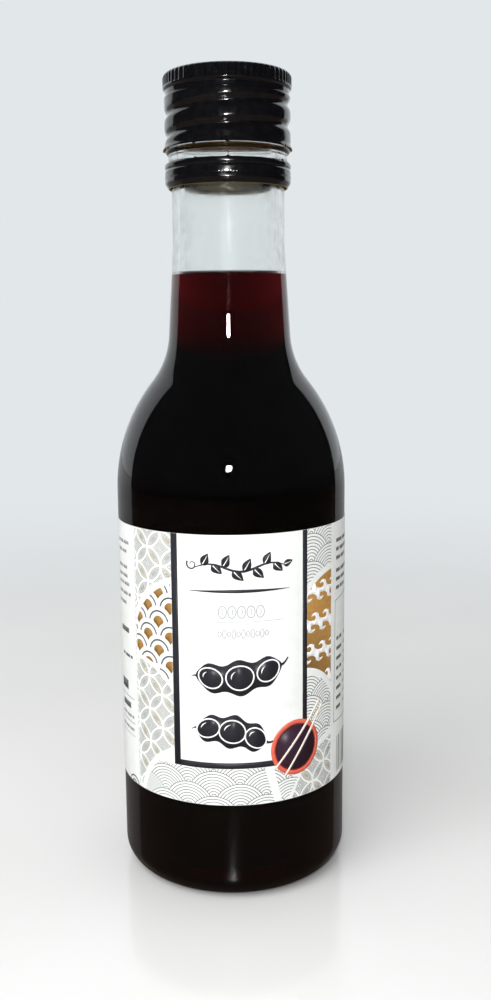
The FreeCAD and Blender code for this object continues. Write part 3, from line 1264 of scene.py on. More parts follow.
@dataclass(frozen=True)
class Disc(Region):
    """A round area."""

    centre: Point
    radius: float

    def spans(self, across: float) -> list[Span]:
        """The chord at this place.

        Args:
            across: The place.

        Returns:
            The (low, high) stretches.
        """
        square = self.radius**2 - (across - self.centre[0]) ** 2
        if square <= 0:
            return []
        half = math.sqrt(square)
        return [(self.centre[1] - half, self.centre[1] + half)]


@dataclass(frozen=True)
class Shape(Region):
    """A closed outline of straight edges, filled by the even-odd rule."""

    corners: tuple[Point, ...]

    def spans(self, across: float) -> list[Span]:
        """Pairs of crossings of the outline at this place.

        Args:
            across: The place.

        Returns:
            The (low, high) stretches.
        """
        heights = []
        for index, (ax, ay) in enumerate(self.corners):
            bx, by = self.corners[(index + 1) % len(self.corners)]
            if (ax <= across) != (bx <= across):
                heights.append(ay + (by - ay) * (across - ax) / (bx - ax))
        heights.sort()
        return list(zip(heights[::2], heights[1::2]))


def box(left: float, right: float, low: float, high: float) -> Shape:
    """An upright rectangle as a region.

    Args:
        left: Its left edge.
        right: Its right edge.
        low: Its foot.
        high: Its top.

    Returns:
        The region.
    """
    return Shape(((left, low), (right, low), (right, high), (left, high)))


@dataclass(frozen=True)
class Outside(Region):
    """All but a region."""

    of: Region

    def spans(self, across: float) -> list[Span]:
        """The stretches between those of the region.

        Args:
            across: The place.

        Returns:
            The (low, high) stretches.
        """
        edges = [-FAR]
        for low, high in self.of.spans(across):
            edges += [low, high]
        edges.append(FAR)
        return list(zip(edges[::2], edges[1::2]))


@dataclass(frozen=True)
class Both(Region):
    """Where two regions overlap."""

    one: Region
    two: Region

    def spans(self, across: float) -> list[Span]:
        """The stretches that both cover.

        Args:
            across: The place.

        Returns:
            The (low, high) stretches.
        """
        found = []
        for low, high in self.one.spans(across):
            for under, over in self.two.spans(across):
                if min(high, over) > max(low, under):
                    found.append((max(low, under), min(high, over)))
        return sorted(found)


def swelling(least: float) -> Callable[[float], float]:
    """A taper that is widest half way along a line.

    Args:
        least: The share of the width at both ends.

    Returns:
        A function from the share of the length to the share of the width.
    """
    return lambda share: least + (1 - least) * math.sin(math.pi * share)


class Press:
    """Collects printed shapes, ink by ink, as flat faces in (across, up) millimetres."""

    def __init__(self) -> None:
        """Starts with no ink."""
        self.drafts: dict[Ink, MeshDraft] = {}

    def _quad(self, ink: Ink, ids: Sequence[int]) -> None:
        """Adds a face that looks outwards, whatever way round its points come.

        Args:
            ink: Its ink.
            ids: The numbers of its points.
        """
        draft = self.drafts[ink]
        points = [draft.points[i] for i in ids]
        area = 0.0
        for index, point in enumerate(points):
            after = points[(index + 1) % len(points)]
            area += point[0] * after[1] - after[0] * point[1]
        if abs(area) > NO_AREA:
            draft.faces.append(tuple(ids) if area > 0 else tuple(ids)[::-1])

    def _point(self, ink: Ink, layer: int, place: Point) -> int:
        """Adds a point.

        Args:
            ink: Its ink.
            layer: How many films lie under it.
            place: Where it lies on the label.

        Returns:
            Its number.
        """
        draft = self.drafts.setdefault(ink, MeshDraft())
        draft.points.append((place[0], place[1], float(layer)))
        return len(draft.points) - 1

    def stroke(
        self,
        ink: Ink,
        points: Sequence[Point],
        width: float,
        layer: int = 0,
        inside: Region | None = None,
        taper: Callable[[float], float] | None = None,
        closed: bool = False,
    ) -> None:
        """Prints a line.

        Args:
            ink: Its ink.
            points: The points along it, close together on a curve.
            width: How wide it is.
            layer: How many films lie under it.
            inside: The area that it is kept to.
            taper: Its share of the width at each share of its length.
            closed: Whether its end joins its start.
        """
        if inside:
            for run in self._kept(points, inside, closed):
                self.stroke(ink, run, width, layer)
            return
        count = len(points)
        if count < 2:
            return
        pairs = []
        for index, (x, y) in enumerate(points):
            before = points[index - 1] if index or closed else points[0]
            after = points[(index + 1) % count] if index < count - 1 or closed else points[-1]
            dx, dy = after[0] - before[0], after[1] - before[1]
            size = math.hypot(dx, dy) or 1.0
            half = width / 2 * (taper(index / (count - 1)) if taper else 1.0)
            left = (x - dy / size * half, y + dx / size * half)
            right = (x + dy / size * half, y - dx / size * half)
            pairs.append((self._point(ink, layer, left), self._point(ink, layer, right)))
        for index in range(count if closed else count - 1):
            a, b = pairs[index], pairs[(index + 1) % count]
            self._quad(ink, (a[0], a[1], b[1], b[0]))

    @staticmethod
    def _kept(points: Sequence[Point], inside: Region, closed: bool) -> list[list[Point]]:
        """Cuts a line at the edge of an area.

        Args:
            points: The line.
            inside: The area.
            closed: Whether the line's end joins its start.

        Returns:
            The stretches that lie in the area.
        """
        runs: list[list[Point]] = []
        run: list[Point] = []
        line = list(points) + ([points[0]] if closed else [])
        before, was = line[0], inside.holds(line[0])
        if was:
            run.append(before)
        for point in line[1:]:
            now = inside.holds(point)
            if now != was:
                good, bad = (point, before) if now else (before, point)
                for _ in range(HALVINGS):
                    middle = ((good[0] + bad[0]) / 2, (good[1] + bad[1]) / 2)
                    if inside.holds(middle):
                        good = middle
                    else:
                        bad = middle
                run.append(good)
                if not now:
                    runs.append(run)
                    run = []
            if now:
                run.append(point)
            before, was = point, now
        if run:
            runs.append(run)
        return runs

    def fill(
        self, ink: Ink, area: Region, left: float, right: float, layer: int = 0, step: float = 0.25
    ) -> None:
        """Prints an area, as columns that share their points.

        Args:
            ink: Its ink.
            area: The area.
            left: Where the first column starts.
            right: Where the last column ends.
            layer: How many films lie under it.
            step: How wide a column is.
        """
        count = max(1, math.ceil((right - left) / step))
        before: list[tuple[float, float, int, int]] = []
        for index in range(count + 1):
            across = left + (right - left) * index / count
            reading = min(max(across, left + EDGE), right - EDGE)
            now = []
            for low, high in area.spans(reading):
                foot = self._point(ink, layer, (across, low))
                now.append((low, high, foot, self._point(ink, layer, (across, high))))
            for low, high, low_id, high_id in now:
                touching = [b for b in before if min(high, b[1]) > max(low, b[0])]
                last = len(touching) - 1
                for n, (under, over, under_id, over_id) in enumerate(touching):
                    start = self._point(ink, layer, (across, under)) if n else low_id
                    end = self._point(ink, layer, (across, over)) if n < last else high_id
                    self._quad(ink, (under_id, start, end, over_id))
            before = now

    def bar(self, ink: Ink, left: float, right: float, low: float, high: float, layer: int = 0) -> None:
        """Prints an upright rectangle in columns that follow the bottle's round.

        Args:
            ink: Its ink.
            left: Its left edge.
            right: Its right edge.
            low: Its foot.
            high: Its top.
            layer: How many films lie under it.
        """
        self.fill(ink, box(left, right, low, high), left, right, layer, 0.8)

    def ring(self, ink: Ink, centre: Point, inner: float, outer: float, layer: int = 0) -> None:
        """Prints a ring.

        Args:
            ink: Its ink.
            centre: Its centre.
            inner: Its inner radius.
            outer: Its outer radius.
            layer: How many films lie under it.
        """
        middle, width = (inner + outer) / 2, outer - inner
        points = arc(centre, middle, 0.0, math.tau, 72)[:-1]
        self.stroke(ink, points, width, layer, closed=True)


# ---------------------------------------------------------------- label


@dataclass
class Label:
    """The paper wrap and its print: a framed white front between panels of old patterns."""

    glass_radius: float
    low: float
    high: float
    outer: float
    paper_gap: float = 0.03
    film: float = 0.012
    seam: float = 4.0
    columns: int = 320
    frame_left: Span = (-15.0, -13.3)
    frame_right: Span = (17.8, 19.2)
    frame_foot: Span = (34.5, 36.0)
    panel: Span = (-27.3, 28.6)
    seal: Point = (16.0, 38.2)
    seal_radius: float = 7.0
    press: Press = field(default_factory=Press)

    def wrap(self, across: float, up: float, lift: float) -> tuple[float, float, float]:
        """Lays a flat place on the bottle.

        Args:
            across: Place round the front, in millimetres along the paper.
            up: Height.
            lift: Height above the paper's face.

        Returns:
            The point, in millimetres.
        """
        angle = FRONT + across / self.glass_radius
        radius = self.face + lift
        return radius * math.cos(angle), radius * math.sin(angle), up

    @property
    def face(self) -> float:
        """Radius of the paper's printed face.

        Returns:
            The radius, under the films of ink.
        """
        return self.outer - 4 * self.film

    def paper(self, effects: EffectLibrary) -> bpy.types.Object:
        """Makes the bare paper.

        Args:
            effects: The shared node groups.

        Returns:
            The piece.
        """
        draft = MeshDraft()
        half = math.pi * self.glass_radius - self.seam / 2
        inner = self.glass_radius + self.paper_gap
        rows = 12
        for radius in (self.face, inner):
            for row in range(rows + 1):
                up = self.low + (self.high - self.low) * row / rows
                for column in range(self.columns + 1):
                    across = -half + 2 * half * column / self.columns
                    draft.points.append(self.wrap(across, up, radius - self.face))
        wide = self.columns + 1
        side = wide * (rows + 1)
        draft.grid(self.columns, rows)
        draft.grid(self.columns, rows, start=side, inward=True)
        rim = list(range(wide))
        rim += [row * wide + self.columns for row in range(1, rows + 1)]
        rim += [rows * wide + column for column in range(self.columns - 1, -1, -1)]
        rim += [row * wide for row in range(rows - 1, 0, -1)]
        for index, start in enumerate(rim):
            end = rim[(index + 1) % len(rim)]
            draft.faces.append((start, side + start, side + end, end))
        return draft.piece("label_paper", [PAPER.material(effects)])

    # ---- old patterns

    def _interlocked(self, zone: Region, base: Point, radius: float, reach: Span) -> None:
        """Interlocking circles: petals of nested outlines and hollow-sided squares.

        Args:
            zone: The area that they fill.
            base: The centre of one circle.
            radius: The circles' radius.
            reach: How many steps the lattice runs down and up from the base.
        """
        width = 0.17
        for i in range(-3, 4):
            for j in range(round(reach[0]), round(reach[1]) + 1):
                if (i + j) % 2:
                    continue
                centre = (base[0] + radius * i, base[1] + radius * j)
                for inset in (0.42, 0.78, 1.1):
                    for turn in (math.pi / 4, 3 * math.pi / 4):
                        self._petal(zone, centre, radius, inset, turn, width)
                for inset in (0.42, 0.8, 1.16):
                    self._hollow_square(zone, centre, radius, inset, width)
                if zone.holds(centre):
                    dot = 0.24
                    left, right = centre[0] - dot, centre[0] + dot
                    self.press.fill(Ink.OLIVE_LINE, Disc(centre, dot), left, right, step=0.06)

    def _petal(
        self, zone: Region, centre: Point, radius: float, inset: float, turn: float, width: float
    ) -> None:
        """One outline of the petal between two neighbouring circles.

        Args:
            zone: The area that it is kept to.
            centre: Centre of the first circle.
            radius: The circles' radius.
            inset: How far inside the petal's edge the outline lies.
            turn: The direction of the second circle from the first.
            width: The line's width.
        """
        apart = radius * math.sqrt(2)
        other = (centre[0] + apart * math.cos(turn), centre[1] + apart * math.sin(turn))
        small = radius - inset
        half = math.acos(apart / 2 / small)
        one = arc(centre, small, turn - half, turn + half, 12)
        two = arc(other, small, turn + math.pi - half, turn + math.pi + half, 12)
        ink = Ink.OLIVE_LINE if turn < math.pi / 2 else Ink.GREY_LINE
        self.press.stroke(ink, one + two[1:-1], width, inside=zone, closed=True)

    def _hollow_square(
        self, zone: Region, centre: Point, radius: float, inset: float, width: float
    ) -> None:
        """One outline of the hollow-sided square in the middle of a circle.

        Args:
            zone: The area that it is kept to.
            centre: The circle's centre.
            radius: The circles' radius.
            inset: How far inside the square's edge the outline lies.
            width: The line's width.
        """
        large = radius + inset
        reach = math.pi / 4 - math.atan2(math.sqrt(large**2 - radius**2), radius)
        apart = radius * math.sqrt(2)
        outline: list[Point] = []
        for quarter in range(4):
            turn = math.pi / 4 + math.pi / 2 * quarter
            other = (centre[0] + apart * math.cos(turn), centre[1] + apart * math.sin(turn))
            back = turn + math.pi
            outline += arc(other, large, back + reach, back - reach, 6)[:-1]
        self.press.stroke(Ink.GREY_LINE, outline, width, inside=zone, closed=True)

    def _waves(
        self, zone: Region, base: Point, radius: float, spacing: float, ink: Ink, rows: Span
    ) -> None:
        """Overlapping round waves of nested rings.

        Args:
            zone: The area that they fill.
            base: The centre of one wave.
            radius: A wave's radius.
            spacing: From one ring to the next.
            ink: The rings' ink.
            rows: The first and last row, counted from the base, upwards.
        """
        for j in range(round(rows[0]), round(rows[1]) + 1):
            for i in range(-4, 5):
                if (i + j) % 2:
                    continue
                x, z = base[0] + radius * i, base[1] + radius / 2 * j
                front: Region = Disc((x - radius, z - radius / 2), radius)
                front = front | Disc((x + radius, z - radius / 2), radius)
                front = front | Disc((x, z - radius), radius)
                seen = zone - front
                ring = radius
                while ring > 0.3:
                    points = arc((x, z), ring, -0.3, math.pi + 0.3, max(8, round(ring * 7)))
                    self.press.stroke(ink, points, 0.17, inside=seen)
                    ring -= spacing

    def _fans(self, zone: Region) -> None:
        """Scales with a grey arc over a gold fan.

        Args:
            zone: The area that they fill.
        """
        step_across, step_up = 3.55, 3.6
        base = (-19.1, 69.3)
        neighbour, arc_radius, fan_radius = 4.18, 2.9, 1.72
        for i in range(-3, 3):
            for j in range(-5, 5):
                if (i + j) % 2:
                    continue
                x, z = base[0] + step_across * i, base[1] + step_up * j
                cover: Region = Disc((x - step_across, z - step_up), neighbour)
                cover = cover | Disc((x + step_across, z - step_up), neighbour)
                seen = zone - cover
                points = arc((x, z), arc_radius, 0.05, math.pi - 0.05, 22)
                self.press.stroke(Ink.DARK_LINE, points, 0.42, inside=seen)
                fan = Disc((x, z), fan_radius) & seen
                self.press.fill(Ink.GOLD, fan, x - fan_radius, x + fan_radius, step=0.14)

    def _breakers(self, zone: Region, left: float, right: float) -> None:
        """Bands of breaking waves, white on gold.

        Args:
            zone: The gold area.
            left: Its left edge.
            right: Its right edge.
        """
        self.press.fill(Ink.GOLD, zone, left, right, step=0.16)
        pitch = 4.2
        tongue = ((-2.5, 2.3), (-1.5, 1.5), (-0.5, 1.66), (0.0, 1.7), (0.0, 0.6), (-0.9, 0.55),
                  (-1.8, 0.8), (-2.5, 1.4))
        for middle, upper, lower in (
            (76.15, 24.5, 24.2), (68.4, 21.5, 21.1), (60.8, 19.95, 19.75), (53.1, 22.4, 22.2)
        ):
            crests = [
                (side, start + pitch * n)
                for n in range(-3, 4)
                for side, start in ((1, upper), (-1, lower))
            ]
            white: Region = box(left - 1, right + 1, middle - 0.85, middle + 0.85)
            for side, x in crests:
                white = white | Disc((x + side * 0.45, middle + side * 0.95), 1.5)
                white = white | Disc((x + side * 1.3, middle + side * 0.9), 1.25)
            for side, x in crests:
                cut = tuple((x + side * dx, middle + side * dz) for dx, dz in tongue)
                white = white - Shape(cut) - Disc((x, middle + side * 1.15), 0.62)
            self.press.fill(Ink.WHITE, white & zone, left, right, layer=1, step=0.1)

    # ---- front

    def _frame(self) -> None:
        """The black frame, open at the top."""
        left, right, foot = self.frame_left, self.frame_right, self.frame_foot
        for side in (left, right):
            self.press.bar(Ink.CHARCOAL, *side, foot[0], self.high - 0.02)
        self.press.bar(Ink.CHARCOAL, left[1], right[0], *foot)

    def _pod(self, centre: Point, half: float, thick: float, tilt: float, bend: float) -> None:
        """A bean pod in silhouette with its three beans drawn in white.

        Args:
            centre: The pod's middle.
            half: Half its length.
            thick: Half its greatest thickness.
            tilt: Its turn from level, in radians.
            bend: How far its ends rise above its middle.
        """

        def place(along: float, off: float) -> Point:
            """A place in the pod's own axes, laid on the label."""
            return laid(centre, tilt, half * along, bend * along * along + off)

        def girth(along: float) -> float:
            """Half the pod's thickness, swelling at each bean."""
            ends = max(0.0, 1 - abs(along) ** 3.2) ** 0.62
            return thick * ends * (0.86 + 0.14 * math.cos(along * math.tau * 1.42))

        steps = 64
        shares = [-1 + 2 * step / steps for step in range(steps + 1)]
        top = [place(share, girth(share)) for share in shares]
        foot = [place(share, -girth(share)) for share in reversed(shares)]
        body = Shape(tuple(top + foot[1:-1]))
        reach = half * 1.05
        self.press.fill(Ink.CHARCOAL, body, centre[0] - reach, centre[0] + reach, step=0.14)
        stalk = [place(1.0 + 0.16 * n / 6, 0.9 * (n / 6) ** 2) for n in range(-1, 7)]
        self.press.stroke(Ink.CHARCOAL, stalk, 0.7, taper=lambda share: 1 - 0.45 * share)
        tip = [place(-1.0 - 0.1 * n / 5, -0.5 * (n / 5) ** 2) for n in range(-1, 6)]
        self.press.stroke(Ink.CHARCOAL, tip, 0.5, taper=lambda share: 1 - 0.8 * share)
        for middle in (-0.66, 0.0, 0.66):
            size = thick * (0.66 if middle == 0 else 0.56)
            wide = 1.12 / half
            ring = [place(*spot) for spot in oval((middle, 0.0), size * wide, size, 40)]
            self.press.stroke(Ink.WHITE, ring, 0.34, layer=1, closed=True)
            inner = size * 0.62
            turns = [math.pi * (0.62 + 0.42 * n / 12) for n in range(13)]
            shine = [
                place(middle + inner * wide * math.cos(a), inner * math.sin(a)) for a in turns
            ]
            self.press.stroke(Ink.WHITE, shine, 0.3, layer=1, taper=swelling(0.0))

    def _leaf(self, root: Point, turn: float, length: float, half: float) -> None:
        """A pointed leaf with its midrib in white.

        Args:
            root: Where it leaves the stem.
            turn: Its direction, in radians.
            length: How long it is.
            half: Half its greatest width.
        """
        curl, steps = 0.5, 20

        def place(share: float, off: float) -> Point:
            """A place along and beside the midrib, which curls a little."""
            return laid(root, turn, length * share, off + curl * share * share)

        def girth(share: float) -> float:
            """Half the leaf's width."""
            return half * math.sin(math.pi * share**0.72)

        shares = [step / steps for step in range(steps + 1)]
        side = [place(share, girth(share)) for share in shares]
        other = [place(share, -girth(share)) for share in reversed(shares[1:-1])]
        reach = length + half
        body = Shape(tuple(side + other))
        self.press.fill(Ink.CHARCOAL, body, root[0] - reach, root[0] + reach, step=0.1)
        rib = [place(0.12 + 0.68 * share, 0.0) for share in shares]
        self.press.stroke(Ink.WHITE, rib, 0.26, layer=1, taper=lambda share: 1 - 0.8 * share)

    def _ornament(self) -> None:
        """A running sprig of leaves over a tapering rule, at the head of the front."""
        stem_left, stem_length, stem_up, sway, steps = -9.0, 22.0, 83.9, 0.9, 72
        stem = [
            (stem_left + stem_length * n / steps, stem_up + sway * math.sin(math.tau * 1.5 * n / steps))
            for n in range(steps + 1)
        ]
        self.press.stroke(Ink.CHARCOAL, stem, 0.6, taper=swelling(0.35))
        first, apart, lean = 6, 8, 0.92
        for number in range(8):
            up = 1 if number % 2 == 0 else -1
            size = 3.6 - 0.12 * abs(number - 3.5)
            self._leaf(stem[first + apart * number], up * lean, size, 1.12)
        self._leaf(stem[70], 0.12, 2.6, 0.85)
        tendril = []
        for n in range(30):
            turn = math.pi * 2.2 * n / 29
            radius = 0.4 + 0.9 * n / 29
            tendril.append((-9.6 - radius * math.cos(turn), 84.6 + radius * math.sin(turn)))
        self.press.stroke(Ink.CHARCOAL, tendril, 0.42, taper=lambda share: 0.4 + 0.6 * share)
        rule = line((-10.4, 78.3), (14.0, 78.3), 48)
        self.press.stroke(Ink.CHARCOAL, rule, 0.8, taper=swelling(0.12))

    def _garland(self) -> None:
        """Two faint rows of outlined beans and dots under the rule."""
        bean_left, bean_pitch, bean_up = -2.4, 2.244, 73.3
        for n in range(5):
            x = bean_left + bean_pitch * n
            self.press.stroke(
                Ink.PALE_LINE, oval((x, bean_up), 0.95, 1.45, 24), 0.2, closed=True
            )
            self.press.stroke(Ink.PALE_LINE, arc((x - 1.1, bean_up), 1.3, -0.6, 0.6, 8), 0.16)
        self.press.bar(Ink.PALE_LINE, -7.4, 12.4, 70.84, 70.94)
        dot_left, dot_pitch, dot_up = -3.1, 1.12, 68.0
        for n in range(11):
            half = (0.75 if n % 2 else 0.42) * 1.4
            dot = oval((dot_left + dot_pitch * n, dot_up), 0.42, half, 16)
            self.press.stroke(Ink.PALE_LINE, dot, 0.16, closed=True)

    def _sauce_dish(self) -> None:
        """A dish of sauce from above with a pair of tapering sticks laid across it."""
        centre, rim = self.seal, self.seal_radius
        self.press.fill(
            Ink.PLUM, Disc(centre, rim - 1.0), centre[0] - rim + 1, centre[0] + rim - 1, layer=1,
            step=0.3,
        )
        self.press.ring(Ink.WINE, centre, rim - 1.45, rim - 1.05, layer=2)
        self.press.ring(Ink.CORAL, centre, rim - 1.2, rim, layer=2)
        ripple = arc(centre, rim - 2.6, math.pi * 1.02, math.pi * 1.42, 20)
        self.press.stroke(Ink.WINE, ripple, 0.3, layer=2, taper=swelling(0.0))
        for start, end in (((10.0, 33.6), (23.4, 48.5)), ((12.5, 31.2), (24.6, 47.4))):
            stick = line(start, end, 24)
            self.press.stroke(Ink.CREAM, stick, 0.78, layer=3, taper=lambda s: 0.62 + 0.38 * s)

    # ---- sides and back

    def _rows(
        self, ink: Ink, left: float, right: float, heights: Sequence[float], size: float,
        draw: random.Random, ragged: bool = True,
    ) -> None:
        """Small print as rows of plain strokes that spell nothing.

        Args:
            ink: Its ink.
            left: Where the rows start.
            right: Where the longest ends.
            heights: Each row's middle.
            size: A row's height.
            draw: The seeded source of lengths.
            ragged: Whether the rows end unevenly.
        """
        for height in heights:
            end = right - (draw.uniform(0, 0.3) * (right - left) if ragged else 0)
            x = left
            while x < end - size:
                word = min(size * draw.uniform(1.6, 5.0), end - x)
                self.press.bar(ink, x, x + word, height - size / 2, height + size / 2)
                x += word + size * 0.7

    def _sides(self) -> None:
        """The side panels and the back."""
        draw = random.Random(41)
        self._left_side(draw)
        self._right_side(draw)
        self._back(draw)

    def _left_side(self, draw: random.Random) -> None:
        """Blocks of plain rows, the rules between them and the rings at the foot.

        Args:
            draw: The seeded source of lengths.
        """
        for ink, left, right, heights, size, ragged in (
            (Ink.PALE_LINE, -38.5, -29.6, (87.0, 84.7), 0.8, True),
            (Ink.PALE_LINE, -38.5, -29.6, (80.7, 78.5, 76.5, 74.0, 71.5), 0.8, True),
            (Ink.GREY_LINE, -37.5, -31.5, (64.5,), 1.3, False),
            (Ink.DARK_LINE, -36.5, -30.0, (58.0,), 0.7, False),
            (Ink.DARK_LINE, -38.0, -29.4, (50.0,), 2.4, False),
            (Ink.GREY_LINE, -37.5, -29.2, (45.0,), 1.5, False),
            (Ink.PALE_LINE, -38.0, -29.6, (42.3, 39.0), 0.7, True),
        ):
            self._rows(ink, left, right, heights, size, draw, ragged)
        for low, high in ((47.1, 47.25), (40.7, 40.85), (37.4, 37.5)):
            self.press.bar(Ink.GREY_LINE, -38.5, -29.4, low, high)
        foot = box(-40.0, -26.0, self.low + 0.05, 30.0)
        for radius in (2.9, 1.8):
            ring = arc((-30.6, 23.9), radius, 0.0, math.pi, 24)
            self.press.stroke(Ink.DARK_LINE, ring, 0.4, inside=foot)

    def _right_side(self, draw: random.Random) -> None:
        """Plain rows, an outlined box of two columns and a block of upright bars.

        Args:
            draw: The seeded source of lengths and widths.
        """
        heads = (87.0, 84.8, 82.6, 79.4, 77.2, 75.0)
        self._rows(Ink.GREY_LINE, 31.4, 42.0, heads, 0.9, draw)
        corners = [(31.0, 71.8), (46.5, 73.4), (46.5, 39.6), (30.4, 40.3)]
        outline: list[Point] = []
        for start, end in zip(corners, corners[1:] + corners[:1]):
            outline += line(start, end, 24)[:-1]
        self.press.stroke(Ink.GREY_LINE, outline, 0.2, closed=True)
        rows = [61.8 - 2.6 * n for n in range(8)]
        self._rows(Ink.GREY_LINE, 31.9, 36.0, rows, 0.9, draw, False)
        self._rows(Ink.PALE_LINE, 38.0, 45.5, rows, 0.7, draw)
        x, end = 32.4, 58.0
        while x < end:
            wide = draw.choice((0.25, 0.25, 0.5, 0.75))
            self.press.bar(Ink.DARK_LINE, x, x + wide, 26.4, 36.0)
            x += wide + draw.choice((0.25, 0.3, 0.5, 0.8))

    def _back(self, draw: random.Random) -> None:
        """The columns of the back, either side of the seam.

        Args:
            draw: The seeded source of lengths.
        """
        top, pitch, group = 86.5, 2.15, 7
        for left, right in ((-84.0, -66.0), (-62.5, -43.0), (50.0, 66.0), (69.5, 86.0)):
            count = 21 if right < 0 else 15
            heights = [top - pitch * n for n in range(count) if n % group != group - 1]
            self._rows(Ink.PALE_LINE, left, right, heights, 0.75, draw)
            self._rows(Ink.GREY_LINE, left, left + (right - left) * 0.6, (89.2,), 1.2, draw, False)
        self.press.bar(Ink.GREY_LINE, -84.0, -43.0, 38.2, 38.35)
        self._rows(Ink.GREY_LINE, -84.0, -43.0, (35.2, 32.6), 1.1, draw)

    def _panels(self) -> None:
        """The patterned panels on both sides of the frame and under it."""
        low, high = self.low + 0.1, self.high - 0.05
        left, right = self.panel
        inner_left, inner_right = self.frame_left[0], self.frame_right[1]
        circle, hill_middle, lobe_middle, down = 4.2, (-9.6, 22.7), (-27.0, 45.0), (-7, 3)
        big = (-9.8, 61.5)
        strip = box(left, inner_left, low, high)
        upper = (strip - Disc(big, 20.2)) & box(left, inner_left, 60.5, high)
        self._interlocked(upper, (-22.3, 83.35), circle, down)
        lower = (Disc(lobe_middle, 14.0) | box(left, inner_left, low, lobe_middle[1])) & strip
        self._interlocked(lower - Disc(hill_middle, 16.9), (-22.6, 51.2), circle, down)
        under = Disc(lobe_middle, 15.1) | box(left, 0, low, lobe_middle[1])
        self._fans((strip & Disc(big, 18.6)) - under)

        foot_waves = ((-11.3, 30.6), 6.35, 0.72, Ink.GREY_LINE, (-3, 4))
        below = box(left, 9.9, low, self.frame_foot[0] - 0.1)
        slope = Shape(((hill_middle[0], low), (9.9, low), (7.4, 34.4), (hill_middle[0], 34.4)))
        self._waves(below & (Disc(hill_middle, 15.4) | slope), *foot_waves)
        gap = Shape(((11.9, low), (13.4, low), (17.5, 32.0), (9.8, 33.8)))
        self._waves(gap, *foot_waves)
        corner = Shape(((14.6, low), (right, low), (right, 38.0), (22.6, 36.2), (17.6, 31.2)))
        dish = Disc(self.seal, self.seal_radius)
        self._interlocked(corner - dish, (25.3, 36.3), circle, (-3, 1))

        cloud, swell = (30.0, 66.2), (16.5, 43.0)
        top = box(inner_right, right, 70.0, high) - Disc(cloud, 16.0)
        self._waves(top, (20.5, 83.7), 6.8, 0.78, Ink.DARK_LINE, (-3, 5))
        side = ((inner_right, 36.0), (right, 40.2), (right, 60.0), (inner_right, 60.0))
        rise = Disc(swell, 13.2) & Shape(side)
        self._waves(rise - dish, (19.7, 50.2), 6.4, 0.74, Ink.DARK_LINE, (-5, 3))
        gold = (Disc(cloud, 14.4) & box(inner_right, right, 50.0, 82.0)) - Disc(swell, 14.8)
        self._breakers(gold, inner_right, right)
        self._dashes(left - 0.35, low + 1.0, high - 1.0)

    def _dashes(self, across: float, low: float, high: float) -> None:
        """An upright row of short dashes beside the left panel.

        Args:
            across: Their middle.
            low: Where the first begins.
            high: Height that the last begins under.
        """
        length, pitch, half = 0.9, 1.5, 0.08
        up = low
        while up < high:
            self.press.bar(Ink.PALE_LINE, across - half, across + half, up, up + length)
            up += pitch

    def print_pieces(self, effects: EffectLibrary) -> list[bpy.types.Object]:
        """Prints the label, one thin piece for each ink.

        Args:
            effects: The shared node groups.

        Returns:
            The pieces.
        """
        self._panels()
        self._frame()
        self._ornament()
        self._garland()
        self._pod((1.6, 57.2), 10.6, 4.5, 0.10, 1.5)
        self._pod((-0.3, 43.9), 8.9, 4.3, -0.22, -1.2)
        self._sauce_dish()
        self._sides()
        pieces = []
        for ink, draft in self.press.drafts.items():
            flat = MeshDraft(
                [self.wrap(x, z, layer * self.film) for x, z, layer in draft.points], draft.faces
            )
            piece = flat.piece(f"print_{ink.name.lower()}", [ink.finish().material(effects)])
            body = piece.modifiers.new("film", "SOLIDIFY")
            body.thickness = self.film * 0.9 * MM
            body.offset = 1.0
            pieces.append(piece)
        return pieces


# ---------------------------------------------------------------- studio


